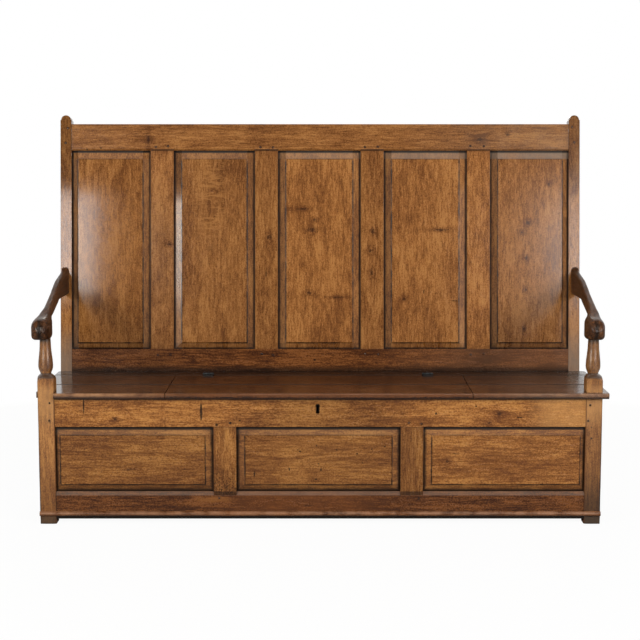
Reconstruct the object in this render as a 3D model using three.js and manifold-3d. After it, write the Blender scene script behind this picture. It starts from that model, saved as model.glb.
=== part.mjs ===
// A joined oak settle bench: a panelled box seat with a hinged lid, a raked panelled back and two open arms.
// Millimetres, +Z up, +X to the right as seen from the front, +Y to the back.
// The front face of the front posts lies at y = 0 while the pieces are made; the whole bench is centred last.

import Module from 'manifold-3d';
import * as THREE from 'three';
import { mergeVertices } from 'three/addons/utils/BufferGeometryUtils.js';

const wasm = await Module();
wasm.setup();

// Driving dimensions of the whole bench
const postSpan = 1880;
const seatHeight = 447;
const seatDepth = 463;
const backRise = 894;
const rakeDegrees = 6.5;
const armRise = 374;
const handRise = 175;

// Framing of the box seat
const frontPostSize = 55;
const boxFrameThickness = 28;
const footClearance = 18;
const boxTopRailHeight = 96;
const boxBottomRailHeight = 92;
const frontMuntinWidth = 76;
const frontBayShares = [0.327, 0.339, 0.334];
const rearFrameThickness = 26;
const rearTopRailHeight = 76;
const rearMuntinWidth = 70;
const rearPanelThickness = 10;
const sillChamfer = 12;
const sillChamferDepth = 6;

// Framing of the back
const rearPostWidth = 40;
const rearPostDepth = 45;
const backFrameThickness = 26;
const backTopRailHeight = 95;
const backBottomRailHeight = 80;
const backMuntinWidth = 84;
const backBayShares = [0.1954, 0.2005, 0.2043, 0.2055, 0.1943];
const postHornHeight = 17;
const postCrownHeight = 15;
const postCrownShoulder = 3;
const railEdgeChamfer = 5;

// Joints, grooves and panels
const tenonThickness = 9;
const tenonLength = 30;
const muntinTenonLength = 24;
const stubTenonLength = 15;
const tenonShoulder = 10;
const grooveSetback = 11;
const grooveWidth = 8;
const grooveDepth = 9;
const panelPlay = 1.5;
const panelEdgeThickness = 4.5;
const panelFieldRecess = 4;
const panelFieldStep = 2;
const muntinSideBevel = 29;
const frontPostSideBevel = 17;
const rearPostSideBevel = 23;
const panelTopBevel = 30;
const panelBottomBevel = 24;

// Fits: a sliding or turned joint keeps the first, a tenon's end keeps the second
const fit = 0.3;
const endRoom = 2;
const overrun = 5;

// Seat boards, lid and their bearers
const seatThickness = 20;
const nosing = 22;
const nosingTopRadius = 5;
const nosingBottomRadius = 10;
const leftSeatOverhang = 6;
const rightSeatOverhang = 18;
const frontBoardDepth = 163;
const rearStripDepth = 93;
const boardGap = 0.8;
const lidLeftEdge = -513;
const lidRightEdge = 505;
const lidGap = 2.4;
const scarDepth = 12;
const stripCornerRadius = 18;
const bearerWidth = 44;
const bearerHeight = 30;
const bearerTenonLength = 10;
const bearerTenonHeight = 14;
const battenWidth = 46;
const battenThickness = 18;
const battenInset = 14;
const battenEndChamfer = 10;
const battenOffset = 110;

// Hinges of the lid
const hingeWidth = 34;
const hingeLeafLength = 24;
const hingeLeafThickness = 2.5;
const knuckleRadius = 4.5;
const hingePinRadius = 2;
const hingeLeftCentre = -398;
const hingeRightCentre = 383;
const hingePinHead = 1.5;

// Chest lock inside the front rail
const keyholeOffset = -8;
const keyholeDrop = 20;
const keyholeHeadRadius = 6;
const keyholeNeck = 8;
const keyholeFoot = 14;
const keyholeHeight = 30;
const lockWidth = 116;
const lockHeight = 62;
const lockDepth = 24;
const lockWall = 2.5;
const lockDrop = 6;
const boltThickness = 5;
const boltHeight = 8;
const boltLength = 44;
const boltClearance = 1;
const boltTravel = 12;
const stapleThickness = 7;
const stapleDepth = 12.5;
const stapleLeg = 3;
const stapleDrop = 25;
const stapleBow = 5;
const stapleSwing = 5.5;
const staplePlateWidth = 64;
const staplePlateDepth = 30;
const staplePlateThickness = 2;

// Base moulding of the front
const beadHeight = 17;
const beadProjection = 10;
const beadLift = 9;

// Floor of the box
const floorThickness = 12;
const floorLift = 22;
const floorHousing = 8;
const floorBoardCount = 3;
const floorBearerWidth = 45;

// Turned arm supports
const shoulderRise = 36;
const shoulderHeight = 14;
const shoulderTuck = 3.5;
const neckRise = 60;
const balusterNeckRadius = 17.5;
const balusterRadius = 24.6;
const balusterTopRadius = 18;
const armTenonRadius = 12;
const armTenonLength = 26;

// Arms
const handOverhang = 24;
const handOutset = 11;
const handShifts = { left: 7, right: -7 };
const handInset = 3;
const armTenonHeight = 50;
const armTenonDrop = 20;
const armFlare = 12;
const armWaist = 24;
const armBackInset = 10;

// Smoothness of round stretches
const turnSegments = 32;
const arcSegments = 5;

// Places worked out from the sizes above
const rake = THREE.MathUtils.degToRad(rakeDegrees);
const halfSpan = postSpan / 2;
const railTop = seatHeight - seatThickness;
const frontInner = halfSpan - frontPostSize;
const rearInner = halfSpan - rearPostWidth;
const boxOpeningTop = railTop - boxTopRailHeight;
const boxOpeningBottom = footClearance + boxBottomRailHeight;
const handBottom = seatHeight + handRise;
const keyholeTop = railTop - keyholeDrop;
const hingeLine = seatDepth - rearStripDepth;

const oakGold = { color: 0x9a6a36, roughness: 0.5, metalness: 0 };
const oakBrown = { color: 0x6f4526, roughness: 0.45, metalness: 0 };
const oakDark = { color: 0x452a1a, roughness: 0.35, metalness: 0 };
const oakPlain = { color: 0x7a5a3c, roughness: 0.75, metalness: 0 };
const iron = { color: 0x2e3238, roughness: 0.5, metalness: 0.9 };

// Solids: every shape becomes one closed body before it is cut or joined

function solid(geometry) {
  const bare = geometry.clone();
  bare.deleteAttribute('normal');
  bare.deleteAttribute('uv');
  const merged = mergeVertices(bare);
  const corners = [];
  const index = merged.index.array;
  for (let i = 0; i < index.length; i += 3) {
    const [a, b, c] = [index[i], index[i + 1], index[i + 2]];
    if (a !== b && b !== c && c !== a) corners.push(a, b, c);
  }
  return new wasm.Manifold(new wasm.Mesh({
    numProp: 3,
    vertProperties: Float32Array.from(merged.attributes.position.array),
    triVerts: Uint32Array.from(corners),
  }));
}

function geometryOf(body) {
  const mesh = body.getMesh();
  const geometry = new THREE.BufferGeometry();
  geometry.setAttribute('position', new THREE.Float32BufferAttribute(mesh.vertProperties, 3));
  geometry.setIndex(new THREE.Uint32BufferAttribute(mesh.triVerts, 1));
  geometry.computeVertexNormals();
  return geometry;
}

function join(first, ...others) {
  return others.reduce((body, other) => body.add(other), first);
}

function cut(first, ...others) {
  return others.reduce((body, other) => body.subtract(other), first);
}

// A block is given by its range along each axis, in either order
function ordered([a, b]) {
  return a < b ? [a, b] : [b, a];
}

function blockGeometry({ x, y, z }) {
  const [x0, x1] = ordered(x);
  const [y0, y1] = ordered(y);
  const [z0, z1] = ordered(z);
  const box = new THREE.BoxGeometry(x1 - x0, y1 - y0, z1 - z0);
  return box.translate((x0 + x1) / 2, (y0 + y1) / 2, (z0 + z1) / 2);
}

function block(ranges) {
  return solid(blockGeometry(ranges));
}

function grown({ x, y, z }, by) {
  const widen = (range) => {
    const [low, high] = ordered(range);
    return [low - by, high + by];
  };
  return { x: widen(x), y: widen(y), z: widen(z) };
}

function mirrored({ x, y, z }, side) {
  return { x: x.map((value) => value * side), y, z };
}

// Extrusions of flat outlines along each axis
function extrudeGeometry(shape, length, segments = arcSegments) {
  return new THREE.ExtrudeGeometry(shape, { depth: length, bevelEnabled: false, curveSegments: segments });
}

// The outline holds (y, z) and runs along x
function alongX(shape, x0, x1, segments) {
  const geometry = extrudeGeometry(shape, x1 - x0, segments);
  const turn = new THREE.Matrix4().set(0, 0, 1, x0, 1, 0, 0, 0, 0, 1, 0, 0, 0, 0, 0, 1);
  return solid(geometry.applyMatrix4(turn));
}

// The outline holds (x, z) and runs along y
function alongYGeometry(shape, y0, y1, segments) {
  const geometry = extrudeGeometry(shape, y1 - y0, segments);
  return geometry.rotateX(Math.PI / 2).translate(0, y1, 0);
}

// The outline holds (x, y) and runs along z
function alongZ(shape, z0, z1, segments) {
  return solid(extrudeGeometry(shape, z1 - z0, segments).translate(0, 0, z0));
}

function polygon(points) {
  return new THREE.Shape(points.map(([a, b]) => new THREE.Vector2(a, b)));
}

// A body through rings of points, all with the same count, from the first cap to the last
function loft(rings) {
  const count = rings[0].length;
  const positions = rings.flat().flatMap((point) => [point.x, point.y, point.z]);
  const index = [];
  for (let ring = 0; ring + 1 < rings.length; ring += 1) {
    for (let i = 0; i < count; i += 1) {
      const next = (i + 1) % count;
      const a = ring * count + i;
      const b = ring * count + next;
      index.push(a, b, b + count, a, b + count, a + count);
    }
  }
  const last = (rings.length - 1) * count;
  for (let i = 1; i + 1 < count; i += 1) {
    index.push(0, i + 1, i);
    index.push(last, last + i, last + i + 1);
  }
  const geometry = new THREE.BufferGeometry();
  geometry.setAttribute('position', new THREE.Float32BufferAttribute(positions, 3));
  geometry.setIndex(index);
  return solid(geometry);
}

// The raked back: its own frame stands on the seat at the rear posts' front face
const backGroup = new THREE.Group();
backGroup.position.set(0, seatDepth, seatHeight);
backGroup.rotation.x = -rake;
backGroup.updateMatrix();

function rakedBlock(ranges) {
  return solid(blockGeometry(ranges).applyMatrix4(backGroup.matrix));
}

const bench = new THREE.Group();
bench.add(backGroup);

function place(name, body, finish, group = bench) {
  const mesh = new THREE.Mesh(geometryOf(body), new THREE.MeshStandardMaterial(finish));
  mesh.name = name;
  group.add(mesh);
}

// Bays between muntins, as ranges along x, shared out of the clear width
function bays(inner, muntinWidth, shares) {
  const clear = 2 * inner - (shares.length - 1) * muntinWidth;
  let left = -inner;
  return shares.map((share) => {
    const range = [left, left + share * clear];
    left = range[1] + muntinWidth;
    return range;
  });
}

const frontBays = bays(frontInner, frontMuntinWidth, frontBayShares);
const backBays = bays(rearInner, backMuntinWidth, backBayShares);

function muntinRanges(bayList) {
  return bayList.slice(1).map((bay, i) => [bayList[i][1], bay[0]]);
}

const frontMuntins = muntinRanges(frontBays);
const backMuntins = muntinRanges(backBays);

// Tenons sit in the thickness of the frame behind the same setback as the grooves
const tenonY = [grooveSetback, grooveSetback + tenonThickness];
const grooveY = [grooveSetback, grooveSetback + grooveWidth];

// A post's groove runs on into the rails' mortises, as deep as the rails' own grooves
function grooveRun(low, high) {
  return [low - grooveDepth, high + grooveDepth];
}

function shifted(range, by) {
  return range.map((value) => value + by);
}

// A rail's end tenon along x; side is -1 or 1
function railTenon(side, shoulder, yRange, zRange) {
  return {
    x: [side * (shoulder - overrun), side * (shoulder + tenonLength)],
    y: yRange,
    z: [zRange[0] + tenonShoulder, zRange[1] - tenonShoulder],
  };
}

// A muntin's tenon along z, clear of the panel grooves on both sides
function muntinTenon(muntin, yRange, edge, up) {
  return {
    x: [muntin[0] + tenonShoulder, muntin[1] - tenonShoulder],
    y: yRange,
    z: [edge - up * overrun, edge + up * muntinTenonLength],
  };
}

function mortise(tenon) {
  return block(grown(tenon, fit));
}

function mortisesOf(muntins, edge, up) {
  return muntins.map((muntin) => mortise(muntinTenon(muntin, tenonY, edge, up)));
}

// A fielded panel facing -y: a thin edge for the grooves, a sloping bevel and a raised field
function fieldedPanel(bay, low, high, bevels) {
  const reach = grooveDepth - panelPlay;
  const back = grooveY[1] - fit;
  const levels = [
    { y: back, left: 0, right: 0, bottom: 0, top: 0 },
    { y: back - panelEdgeThickness, left: 0, right: 0, bottom: 0, top: 0 },
    { y: panelFieldRecess + panelFieldStep, ...bevels },
    { y: panelFieldRecess, ...bevels },
  ];
  const rings = levels.map(({ y, left, right, bottom, top }) => {
    const inset = (bevel) => (bevel > 0 ? bevel : -reach);
    const x0 = bay[0] + inset(left);
    const x1 = bay[1] - inset(right);
    const z0 = low + inset(bottom);
    const z1 = high - inset(top);
    return [[x0, z0], [x1, z0], [x1, z1], [x0, z1]].map(([x, z]) => new THREE.Vector3(x, y, z));
  });
  return loft(rings);
}

// Front posts: square to above the seat, then turned as arm supports

function balusterProfile() {
  const half = frontPostSize / 2;
  const shoulderBase = seatHeight + shoulderRise;
  const neck = seatHeight + neckRise;
  const outside = frontPostSize;
  const shoulder = new THREE.QuadraticBezierCurve(
    new THREE.Vector2(outside, shoulderBase - shoulderHeight),
    new THREE.Vector2(half, shoulderBase + shoulderHeight),
    new THREE.Vector2(balusterNeckRadius, neck - shoulderTuck),
  );
  const vaseHeight = handBottom - neck;
  const vaseHeightShares = [0, 0.05, 0.12, 0.21, 0.37, 0.54, 0.72, 1];
  const swell = balusterRadius - balusterTopRadius;
  const vaseSwellShares = [-0.07, 0.35, 0.85, 1, 0.84, 0.5, 0.18, 0];
  const vase = new THREE.SplineCurve(vaseHeightShares.map((share, i) => new THREE.Vector2(
    balusterTopRadius + swell * vaseSwellShares[i],
    neck + share * vaseHeight,
  )));
  return [
    new THREE.Vector2(0, 0),
    new THREE.Vector2(outside, 0),
    ...shoulder.getPoints(arcSegments),
    ...vase.getPoints(turnSegments / 2),
    new THREE.Vector2(armTenonRadius, handBottom),
    new THREE.Vector2(armTenonRadius, handBottom + armTenonLength),
    new THREE.Vector2(0, handBottom + armTenonLength),
  ];
}

function frontPostRange(side) {
  return {
    x: [side * frontInner, side * halfSpan],
    y: [0, frontPostSize],
    z: [0, handBottom + armTenonLength],
  };
}

// Levels of the box framing
const boxTopLevels = [boxOpeningTop, railTop];
const boxBottomLevels = [footClearance, boxOpeningBottom];
const rearTopLevels = [railTop - rearTopRailHeight, railTop];
const rearTenonY = shifted(tenonY, seatDepth);
const rearGrooveY = shifted(grooveY, seatDepth);

// The side rails' tenons run along y, between the front and rear posts
function sideTenon(side, end, levels) {
  const shoulder = end < 0 ? frontPostSize : seatDepth;
  return mirrored({
    x: [halfSpan - tenonY[0], halfSpan - tenonY[1]],
    y: [shoulder - end * overrun, shoulder + end * stubTenonLength],
    z: [levels[0] + tenonShoulder, levels[1] - tenonShoulder],
  }, side);
}

function frontPost(side) {
  const centre = side * (halfSpan - frontPostSize / 2);
  const turned = new THREE.LatheGeometry(balusterProfile(), turnSegments);
  turned.rotateX(Math.PI / 2).translate(centre, frontPostSize / 2, 0);
  const square = block(frontPostRange(side));
  const mortises = [boxTopLevels, boxBottomLevels].flatMap((levels) => [
    mortise(railTenon(side, frontInner, tenonY, levels)),
    mortise(sideTenon(side, -1, levels)),
  ]);
  const frontGroove = mirrored({
    x: [frontInner - overrun, frontInner + grooveDepth],
    y: grooveY,
    z: grooveRun(boxOpeningBottom, boxOpeningTop),
  }, side);
  const sideGroove = mirrored({
    x: [halfSpan - grooveY[0], halfSpan - grooveY[1]],
    y: [frontPostSize - grooveDepth, frontPostSize + overrun],
    z: grooveRun(boxOpeningBottom, boxOpeningTop),
  }, side);
  return cut(square.intersect(solid(turned)), ...mortises, block(frontGroove), block(sideGroove));
}

// Rear posts: upright to the seat, raked above it, with a rounded crown

const crownBase = backRise + postHornHeight;

function crownOutline() {
  const half = rearPostWidth / 2;
  const crownHalf = half - postCrownShoulder;
  const shape = new THREE.Shape();
  shape.moveTo(-half, -seatHeight - seatDepth);
  shape.lineTo(half, -seatHeight - seatDepth);
  shape.lineTo(half, crownBase - postCrownShoulder);
  shape.lineTo(crownHalf, crownBase);
  shape.absellipse(0, crownBase, crownHalf, postCrownHeight, 0, Math.PI, false);
  shape.lineTo(-half, crownBase - postCrownShoulder);
  return shape;
}

const backTopLevels = [backRise - backTopRailHeight, backRise];
const backBottomLevels = [0, backBottomRailHeight];
const armSeatRise = armRise - armTenonDrop;

function armTenon(side) {
  return mirrored({
    x: [rearInner + armBackInset + tenonShoulder / 2, halfSpan - tenonShoulder],
    y: [-armTenonHeight, tenonLength],
    z: [armSeatRise - armTenonHeight, armSeatRise],
  }, side);
}

function rearPost(side) {
  const x0 = side < 0 ? -halfSpan : rearInner;
  const length = crownBase + postCrownHeight;
  const bend = rearPostDepth * Math.tan(rake / 2);
  const lean = (up, deep) => [
    seatDepth + up * Math.sin(rake) + deep * Math.cos(rake),
    seatHeight + up * Math.cos(rake) - deep * Math.sin(rake),
  ];
  const profile = polygon([
    [seatDepth, 0],
    [seatDepth + rearPostDepth, 0],
    [seatDepth + rearPostDepth, seatHeight - bend],
    lean(length, rearPostDepth),
    lean(length, 0),
    [seatDepth, seatHeight],
  ]);
  const blank = alongX(profile, x0, x0 + rearPostWidth);
  const crown = alongYGeometry(crownOutline(), -seatDepth, seatDepth, 2 * arcSegments);
  crown.translate(x0 + rearPostWidth / 2, 0, 0).applyMatrix4(backGroup.matrix);
  const mortises = [
    ...[boxTopLevels, boxBottomLevels].map((levels) => mortise(sideTenon(side, 1, levels))),
    ...[rearTopLevels, boxBottomLevels].map((levels) => mortise(rearTenon(side, levels))),
    ...[backTopLevels, backBottomLevels].map((levels) => rakedBlock(grown(backTenon(side, levels), fit))),
    rakedBlock(grown(armTenon(side), fit)),
  ];
  const backGroove = rakedBlock(mirrored({
    x: [rearInner - overrun, rearInner + grooveDepth],
    y: grooveY,
    z: grooveRun(backBottomRailHeight, backRise - backTopRailHeight),
  }, side));
  const rearGroove = block(mirrored({
    x: [rearInner - overrun, rearInner + grooveDepth],
    y: rearGrooveY,
    z: grooveRun(boxOpeningBottom, rearTopLevels[0]),
  }, side));
  const sideGroove = block(mirrored({
    x: [halfSpan - grooveY[0], halfSpan - grooveY[1]],
    y: [seatDepth - overrun, seatDepth + grooveDepth],
    z: grooveRun(boxOpeningBottom, boxOpeningTop),
  }, side));
  return cut(blank.intersect(solid(crown)), ...mortises, backGroove, rearGroove, sideGroove);
}

function rearTenon(side, levels) {
  return {
    x: [side * (rearInner - overrun), side * (rearInner + stubTenonLength)],
    y: rearTenonY,
    z: [levels[0] + tenonShoulder, levels[1] - tenonShoulder],
  };
}

function backTenon(side, levels) {
  return railTenon(side, rearInner, tenonY, levels);
}

// Front framing

function keyholeOutline() {
  const headCentre = keyholeTop - keyholeHeadRadius;
  const foot = keyholeTop - keyholeHeight;
  const neck = keyholeNeck / 2;
  const meet = Math.sqrt(keyholeHeadRadius ** 2 - neck ** 2);
  const angle = Math.atan2(-meet, neck);
  const shape = new THREE.Shape();
  shape.moveTo(keyholeOffset + keyholeFoot / 2, foot);
  shape.lineTo(keyholeOffset + neck, foot + keyholeNeck);
  shape.absarc(keyholeOffset, headCentre, keyholeHeadRadius, angle, Math.PI - angle, false);
  shape.lineTo(keyholeOffset - neck, foot + keyholeNeck);
  shape.lineTo(keyholeOffset - keyholeFoot / 2, foot);
  return shape;
}

function keyholeCut(y0, y1) {
  return solid(alongYGeometry(keyholeOutline(), y0, y1));
}

function bearerRange(edge) {
  return {
    x: [edge - bearerWidth / 2, edge + bearerWidth / 2],
    y: [boxFrameThickness, seatDepth],
    z: [railTop - bearerHeight, railTop],
  };
}

function bearerTenon(edge) {
  const middle = railTop - bearerHeight / 2;
  return {
    x: [edge - bearerWidth / 2 + tenonShoulder, edge + bearerWidth / 2 - tenonShoulder],
    y: [boxFrameThickness - bearerTenonLength, seatDepth + bearerTenonLength],
    z: [middle - bearerTenonHeight / 2, middle + bearerTenonHeight / 2],
  };
}

const bearerEdges = [lidLeftEdge - lidGap / 2, lidRightEdge + lidGap / 2];

const floorTop = footClearance + floorLift + floorThickness;

function floorBearerTenon() {
  const height = floorLift - tenonShoulder;
  return {
    x: [tenonShoulder - floorBearerWidth / 2, floorBearerWidth / 2 - tenonShoulder],
    y: [boxFrameThickness - bearerTenonLength, seatDepth + bearerTenonLength],
    z: [footClearance + tenonShoulder / 2, footClearance + tenonShoulder / 2 + height],
  };
}

function frontTopRail() {
  const body = block({ x: [-frontInner, frontInner], y: [0, boxFrameThickness], z: boxTopLevels });
  const tenons = [-1, 1].map((side) => block(railTenon(side, frontInner, tenonY, boxTopLevels)));
  const groove = block({
    x: [-frontInner - overrun, frontInner + overrun],
    y: grooveY,
    z: [boxOpeningTop - overrun, boxOpeningTop + grooveDepth],
  });
  const muntinMortises = mortisesOf(frontMuntins, boxOpeningTop, 1);
  const bearerMortises = bearerEdges.map((edge) => mortise(bearerTenon(edge)));
  const keyhole = keyholeCut(-overrun, boxFrameThickness + overrun);
  return cut(join(body, ...tenons), groove, ...muntinMortises, ...bearerMortises, keyhole);
}

function frontBottomRail() {
  const profile = polygon([
    [0, footClearance],
    [boxFrameThickness, footClearance],
    [boxFrameThickness, boxOpeningBottom],
    [sillChamferDepth, boxOpeningBottom],
    [0, boxOpeningBottom - sillChamfer],
  ]);
  const body = alongX(profile, -frontInner, frontInner);
  const tenons = [-1, 1].map((side) => block(railTenon(side, frontInner, tenonY, boxBottomLevels)));
  const groove = block({
    x: [-frontInner - overrun, frontInner + overrun],
    y: grooveY,
    z: [boxOpeningBottom - grooveDepth, boxOpeningBottom + overrun],
  });
  const muntinMortises = mortisesOf(frontMuntins, boxOpeningBottom, -1);
  return cut(join(body, ...tenons), groove, ...muntinMortises, mortise(floorBearerTenon()));
}

// The muntin's foot is scribed over the sloping edge of the sill
function frontMuntin(muntin) {
  const profile = polygon([
    [0, boxOpeningBottom - sillChamfer + fit],
    [sillChamferDepth, boxOpeningBottom + fit],
    [boxFrameThickness, boxOpeningBottom + fit],
    [boxFrameThickness, boxOpeningTop],
    [0, boxOpeningTop],
  ]);
  const body = alongX(profile, muntin[0], muntin[1]);
  const tenons = [
    block(muntinTenon(muntin, tenonY, boxOpeningTop, 1)),
    block(muntinTenon(muntin, tenonY, boxOpeningBottom, -1)),
  ];
  const grooves = [[muntin[0], 1], [muntin[1], -1]].map(([edge, inward]) => block({
    x: [edge - inward * overrun, edge + inward * grooveDepth],
    y: grooveY,
    z: [boxOpeningBottom, boxOpeningTop],
  }));
  return cut(join(body, ...tenons), ...grooves);
}

function sideBevels(i, count, postBevel) {
  return {
    left: i === 0 ? postBevel : muntinSideBevel,
    right: i === count - 1 ? postBevel : muntinSideBevel,
    bottom: panelBottomBevel,
    top: panelTopBevel,
  };
}

function beadOutline() {
  const low = footClearance + beadLift;
  const middle = low + beadHeight / 2;
  const shape = new THREE.Shape();
  shape.moveTo(0, low + beadHeight);
  shape.absellipse(0, middle, beadProjection, beadHeight / 2, Math.PI / 2, 3 * Math.PI / 2, false);
  return shape;
}

function buildFront() {
  for (const [side, name] of [[-1, 'left'], [1, 'right']]) {
    place(`front_post_${name}`, frontPost(side), oakGold);
  }
  place('front_top_rail', frontTopRail(), oakGold);
  place('front_bottom_rail', frontBottomRail(), oakBrown);
  frontMuntins.forEach((muntin, i) => {
    place(`front_muntin_${i + 1}`, frontMuntin(muntin), oakGold);
  });
  frontBays.forEach((bay, i) => {
    const bevels = sideBevels(i, frontBays.length, frontPostSideBevel);
    const panel = fieldedPanel(bay, boxOpeningBottom, boxOpeningTop, bevels);
    place(`front_panel_${i + 1}`, panel, oakGold);
  });
  place('base_moulding', alongX(beadOutline(), -halfSpan, halfSpan, 2 * arcSegments), oakBrown);
}

// Ends of the box

function sideRail(side, levels, grooveEdge, grooveUp) {
  const body = block(mirrored({
    x: [halfSpan - boxFrameThickness, halfSpan],
    y: [frontPostSize, seatDepth],
    z: levels,
  }, side));
  const tenons = [-1, 1].map((end) => block(sideTenon(side, end, levels)));
  const groove = block(mirrored({
    x: [halfSpan - grooveY[0], halfSpan - grooveY[1]],
    y: [frontPostSize - overrun - tenonLength, seatDepth + overrun + tenonLength],
    z: [grooveEdge - grooveUp * overrun, grooveEdge + grooveUp * grooveDepth],
  }, side));
  return cut(join(body, ...tenons), groove);
}

function sidePanel(side) {
  const middle = (frontPostSize + seatDepth) / 2;
  const half = (seatDepth - frontPostSize) / 2;
  const bevels = {
    left: muntinSideBevel, right: muntinSideBevel, bottom: panelBottomBevel, top: panelTopBevel,
  };
  const facing = fieldedPanel([-half, half], boxOpeningBottom, boxOpeningTop, bevels);
  const geometry = geometryOf(facing).rotateZ(side * Math.PI / 2);
  return solid(geometry.translate(side * halfSpan, middle, 0));
}

function floorHousingCut(side) {
  return block(mirrored({
    x: [halfSpan - boxFrameThickness - overrun, halfSpan - boxFrameThickness + floorHousing],
    y: [frontPostSize - overrun, seatDepth + overrun],
    z: [floorTop - floorThickness, floorTop + fit],
  }, side));
}

function buildSides() {
  for (const [side, name] of [[-1, 'left'], [1, 'right']]) {
    place(`side_top_rail_${name}`, sideRail(side, boxTopLevels, boxOpeningTop, 1), oakBrown);
    const lower = cut(sideRail(side, boxBottomLevels, boxOpeningBottom, -1), floorHousingCut(side));
    place(`side_bottom_rail_${name}`, lower, oakBrown);
    place(`side_panel_${name}`, sidePanel(side), oakBrown);
  }
}

// Plain rear of the box

const rearY = [seatDepth, seatDepth + rearFrameThickness];
const rearMuntin = [-rearMuntinWidth / 2, rearMuntinWidth / 2];
const rearBays = [[-rearInner, rearMuntin[0]], [rearMuntin[1], rearInner]];

function rearRail(levels, edge, up, extra) {
  const body = block({ x: [-rearInner, rearInner], y: rearY, z: levels });
  const tenons = [-1, 1].map((side) => block(rearTenon(side, levels)));
  const groove = block({
    x: [-rearInner - overrun, rearInner + overrun],
    y: rearGrooveY,
    z: [edge - up * overrun, edge + up * grooveDepth],
  });
  const muntinMortise = mortise(muntinTenon(rearMuntin, rearTenonY, edge, up));
  return cut(join(body, ...tenons), groove, muntinMortise, ...extra);
}

function rearMuntinBody() {
  const body = block({ x: rearMuntin, y: rearY, z: [boxOpeningBottom, rearTopLevels[0]] });
  const tenons = [
    block(muntinTenon(rearMuntin, rearTenonY, rearTopLevels[0], 1)),
    block(muntinTenon(rearMuntin, rearTenonY, boxOpeningBottom, -1)),
  ];
  const grooves = [[rearMuntin[0], 1], [rearMuntin[1], -1]].map(([edge, inward]) => block({
    x: [edge - inward * overrun, edge + inward * grooveDepth],
    y: rearGrooveY,
    z: [boxOpeningBottom, rearTopLevels[0]],
  }));
  return cut(join(body, ...tenons), ...grooves);
}

// A plain board, thinned at its back so that its edges enter the grooves
function rearPanel(bay) {
  const reach = grooveDepth - panelPlay;
  const low = boxOpeningBottom;
  const high = rearTopLevels[0];
  const front = rearGrooveY[0] + fit;
  const tongue = block({
    x: [bay[0] - reach, bay[1] + reach],
    y: [front, rearGrooveY[1] - fit],
    z: [low - reach, high + reach],
  });
  const thickening = block({
    x: [bay[0] + panelPlay, bay[1] - panelPlay],
    y: [front, front + rearPanelThickness],
    z: [low + panelPlay, high - panelPlay],
  });
  return join(tongue, thickening);
}

function buildRear() {
  const bearerMortises = bearerEdges.map((edge) => mortise(bearerTenon(edge)));
  place('rear_top_rail', rearRail(rearTopLevels, rearTopLevels[0], 1, bearerMortises), oakPlain);
  const lowerExtra = [mortise(floorBearerTenon())];
  place('rear_bottom_rail', rearRail(boxBottomLevels, boxOpeningBottom, -1, lowerExtra), oakPlain);
  place('rear_muntin', rearMuntinBody(), oakPlain);
  rearBays.forEach((bay, i) => {
    place(`rear_panel_${i + 1}`, rearPanel(bay), oakPlain);
  });
}

// Raked back

function backTopRail() {
  const profile = polygon([
    [0, backTopLevels[0] + railEdgeChamfer],
    [railEdgeChamfer, backTopLevels[0]],
    [backFrameThickness, backTopLevels[0]],
    [backFrameThickness, backTopLevels[1]],
    [0, backTopLevels[1]],
  ]);
  const body = alongX(profile, -rearInner, rearInner);
  const tenons = [-1, 1].map((side) => block(backTenon(side, backTopLevels)));
  const groove = block({
    x: [-rearInner - overrun, rearInner + overrun],
    y: grooveY,
    z: [backTopLevels[0] - overrun, backTopLevels[0] + grooveDepth],
  });
  const mortises = mortisesOf(backMuntins, backTopLevels[0], 1);
  return cut(join(body, ...tenons), groove, ...mortises);
}

// The lower edge is planed level so that the rail beds on the seat
function backBottomRail() {
  const profile = polygon([
    [0, fit],
    [backFrameThickness, fit + backFrameThickness * Math.tan(rake)],
    [backFrameThickness, backBottomRailHeight],
    [0, backBottomRailHeight],
  ]);
  const body = alongX(profile, -rearInner, rearInner);
  const tenons = [-1, 1].map((side) => block(backTenon(side, backBottomLevels)));
  const groove = block({
    x: [-rearInner - overrun, rearInner + overrun],
    y: grooveY,
    z: [backBottomRailHeight - grooveDepth, backBottomRailHeight + overrun],
  });
  const mortises = mortisesOf(backMuntins, backBottomRailHeight, -1);
  return cut(join(body, ...tenons), groove, ...mortises);
}

// The muntin's head is scribed over the worn edge of the top rail
function backMuntin(muntin) {
  const low = backBottomRailHeight + fit;
  const high = backTopLevels[0] - fit;
  const profile = polygon([
    [0, low],
    [backFrameThickness, low],
    [backFrameThickness, high],
    [railEdgeChamfer, high],
    [0, high + railEdgeChamfer],
  ]);
  const body = alongX(profile, muntin[0], muntin[1]);
  const tenons = [
    block(muntinTenon(muntin, tenonY, backTopLevels[0], 1)),
    block(muntinTenon(muntin, tenonY, backBottomRailHeight, -1)),
  ];
  const grooves = [[muntin[0], 1], [muntin[1], -1]].map(([edge, inward]) => block({
    x: [edge - inward * overrun, edge + inward * grooveDepth],
    y: grooveY,
    z: [backBottomRailHeight, backTopLevels[0]],
  }));
  return cut(join(body, ...tenons), ...grooves);
}

function buildBack() {
  for (const [side, name] of [[-1, 'left'], [1, 'right']]) {
    place(`rear_post_${name}`, rearPost(side), oakBrown);
  }
  place('back_top_rail', backTopRail(), oakGold, backGroup);
  place('back_bottom_rail', backBottomRail(), oakBrown, backGroup);
  backMuntins.forEach((muntin, i) => {
    place(`back_muntin_${i + 1}`, backMuntin(muntin), oakGold, backGroup);
  });
  backBays.forEach((bay, i) => {
    const bevels = sideBevels(i, backBays.length, rearPostSideBevel);
    const panel = fieldedPanel(bay, backBottomRailHeight, backTopLevels[0], bevels);
    place(`back_panel_${i + 1}`, panel, oakGold, backGroup);
  });
}

// Seat: fixed ends, hinged middle and the strip that carries the hinges

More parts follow.
